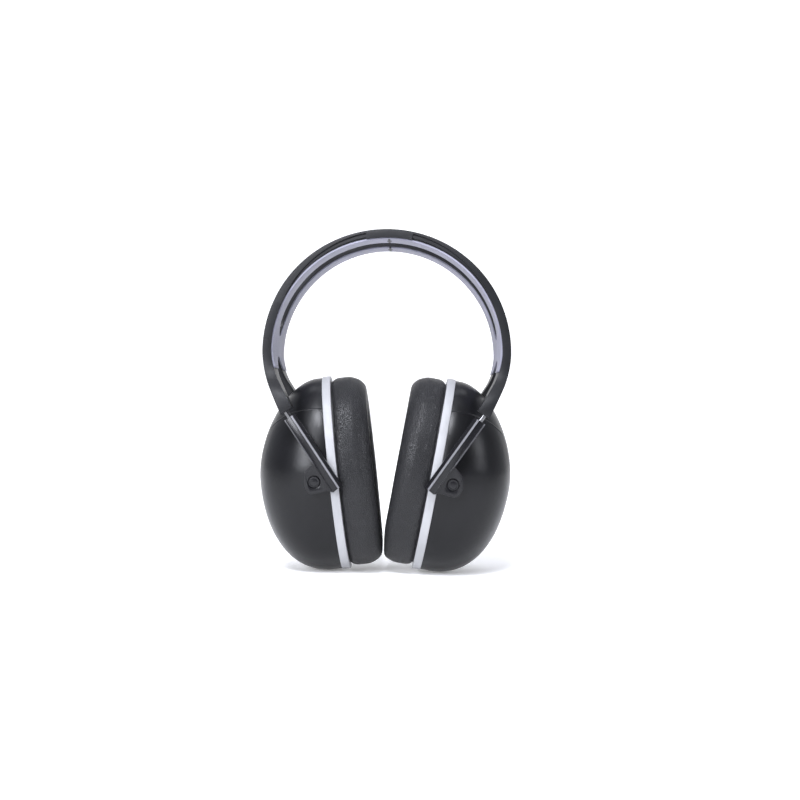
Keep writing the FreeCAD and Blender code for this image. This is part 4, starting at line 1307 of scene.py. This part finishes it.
class EARMUFFS_OT_stage(bpy.types.Operator):
    """Pale floor and backdrop glowing unevenly as painted light, soft studio light and the camera"""
    bl_idname = "earmuffs.stage"
    bl_label = "Stage"
    bl_options = {"REGISTER", "UNDO"}

    def execute(self, context):
        scene = context.scene
        scene.view_settings.view_transform = "Standard"
        clear_selection()
        bpy.ops.mesh.primitive_plane_add(size=1.0, location=(0, 0, -0.0004))
        sweep = new_piece("studio_sweep")
        fix_place()
        with editing(sweep):
            bpy.ops.mesh.select_all(action="SELECT")
            bpy.ops.transform.resize(value=(6, 4.6, 1))
            pick(sweep, lambda p: p.y > 0)
            for i in range(1, 13):
                t = math.radians(90 * i / 12)
                was = math.radians(90 * (i - 1) / 12)
                step = (0, 0.6 * (math.sin(t) - math.sin(was)), 0.6 * (math.cos(was) - math.cos(t)))
                bpy.ops.mesh.extrude_edges_move(TRANSFORM_OT_translate=slide(step))
            bpy.ops.mesh.extrude_edges_move(TRANSFORM_OT_translate=slide((0, 0, 2.0)))
        shade(sweep, 60)
        paper = Finish("studio_paper")
        paper.tint((0.93, 0.93, 0.93), paper.noise(3.0), (0.95, 0.95, 0.95))
        where = paper.node("ShaderNodeSeparateXYZ", None, paper.place)
        # Painted light: the sweep glows, dimmer near the object so its shadow stays and brighter above the floor
        # and further back, painting out the floor's darker band.
        away = where["Z"].step(0.0, 0.08) + where["Y"].step(0.12, 0.45)
        painted_sweep_glow = paper.node("ShaderNodeMix", {"data_type": "RGBA"}, Factor=away,
                          A=(0.30, 0.30, 0.30, 1), B=(1.0, 1.0, 1.0, 1))[0]
        paper.set(Roughness=0.9, Specular_IOR_Level=0.1, Emission_Color=painted_sweep_glow, Emission_Strength=0.62)
        sweep.data.materials.append(paper.material)

        world = scene.world or bpy.data.worlds.new("studio")
        scene.world = world
        Surroundings(world, 0.30, 0.85).set(Strength=0.72)

        cool = (0.96, 0.98, 1.05)
        soft_box("key", (-0.56, -1.0, 0.46), (0, 0, 0.08), (0.38, 0.38), 11.0, cool)
        soft_box("fill", (1.0, -0.65, 0.5), (0, 0, 0.08), (0.3, 0.4), 3.0, cool)
        soft_box("brow", (-0.18, -0.75, 0.95), (0, 0, 0.08), (0.4, 0.3), 13.0, cool)
        soft_box("top", (0.0, 0.05, 1.1), (0, 0, 0.08), (1.0, 0.7), 5.0, cool)

        eye = Vector((0.0130, -0.640, 0.0933))
        lens = bpy.data.cameras.new("viewpoint")
        camera = bpy.data.objects.new("viewpoint", lens)
        scene.collection.objects.link(camera)
        scene.camera = camera
        lens.sensor_width = 36.0
        lens.lens = 51.4
        lens.clip_start, lens.clip_end = 0.01, 50.0
        aim = Matrix.Rotation(math.radians(90.2), 4, "X")
        yaw = Matrix.Rotation(math.radians(0.5), 4, "Z")
        roll = Matrix.Rotation(math.radians(1.2), 4, "Z")
        camera.matrix_world = Matrix.Translation(eye) @ yaw @ aim @ roll
        return {"FINISHED"}


# ------------------------------------------------------------------ panel and run

GROUPS = (EarmuffBandSizes, EarmuffArmSizes, EarmuffCupSizes, EarmuffColours)
STEPS = (
    EARMUFFS_OT_stage,
    EARMUFFS_OT_headband,
    EARMUFFS_OT_liner,
    EARMUFFS_OT_springs,
    EARMUFFS_OT_rods,
    EARMUFFS_OT_arms,
    EARMUFFS_OT_pins,
    EARMUFFS_OT_shells,
    EARMUFFS_OT_rings,
    EARMUFFS_OT_absorbers,
    EARMUFFS_OT_cushions,
)


class EARMUFFS_PT_panel(bpy.types.Panel):
    """Lists the pieces and their sizes"""
    bl_idname = "EARMUFFS_PT_panel"
    bl_label = "Earmuffs"
    bl_space_type = "VIEW_3D"
    bl_region_type = "UI"
    bl_category = "Earmuffs"

    def draw(self, context):
        layout = self.layout
        for step in STEPS:
            layout.operator(step.bl_idname)
        scene = context.scene
        for group in (scene.earmuff_band, scene.earmuff_arms, scene.earmuff_cup, scene.earmuff_colours):
            box = layout.box()
            for key in group.__annotations__:
                box.prop(group, key)


CLASSES = GROUPS + STEPS + (EARMUFFS_PT_panel,)


def register():
    for item in CLASSES:
        bpy.utils.register_class(item)
    for key, group in zip(("band", "arms", "cup", "colours"), GROUPS):
        setattr(bpy.types.Scene, f"earmuff_{key}", bpy.props.PointerProperty(type=group))


def unregister():
    for key in ("band", "arms", "cup", "colours"):
        delattr(bpy.types.Scene, f"earmuff_{key}")
    for item in reversed(CLASSES):
        bpy.utils.unregister_class(item)


def main():
    register()
    for step in STEPS:
        family, name = step.bl_idname.split(".")
        getattr(getattr(bpy.ops, family), name)()


if __name__ == "__main__":
    main()
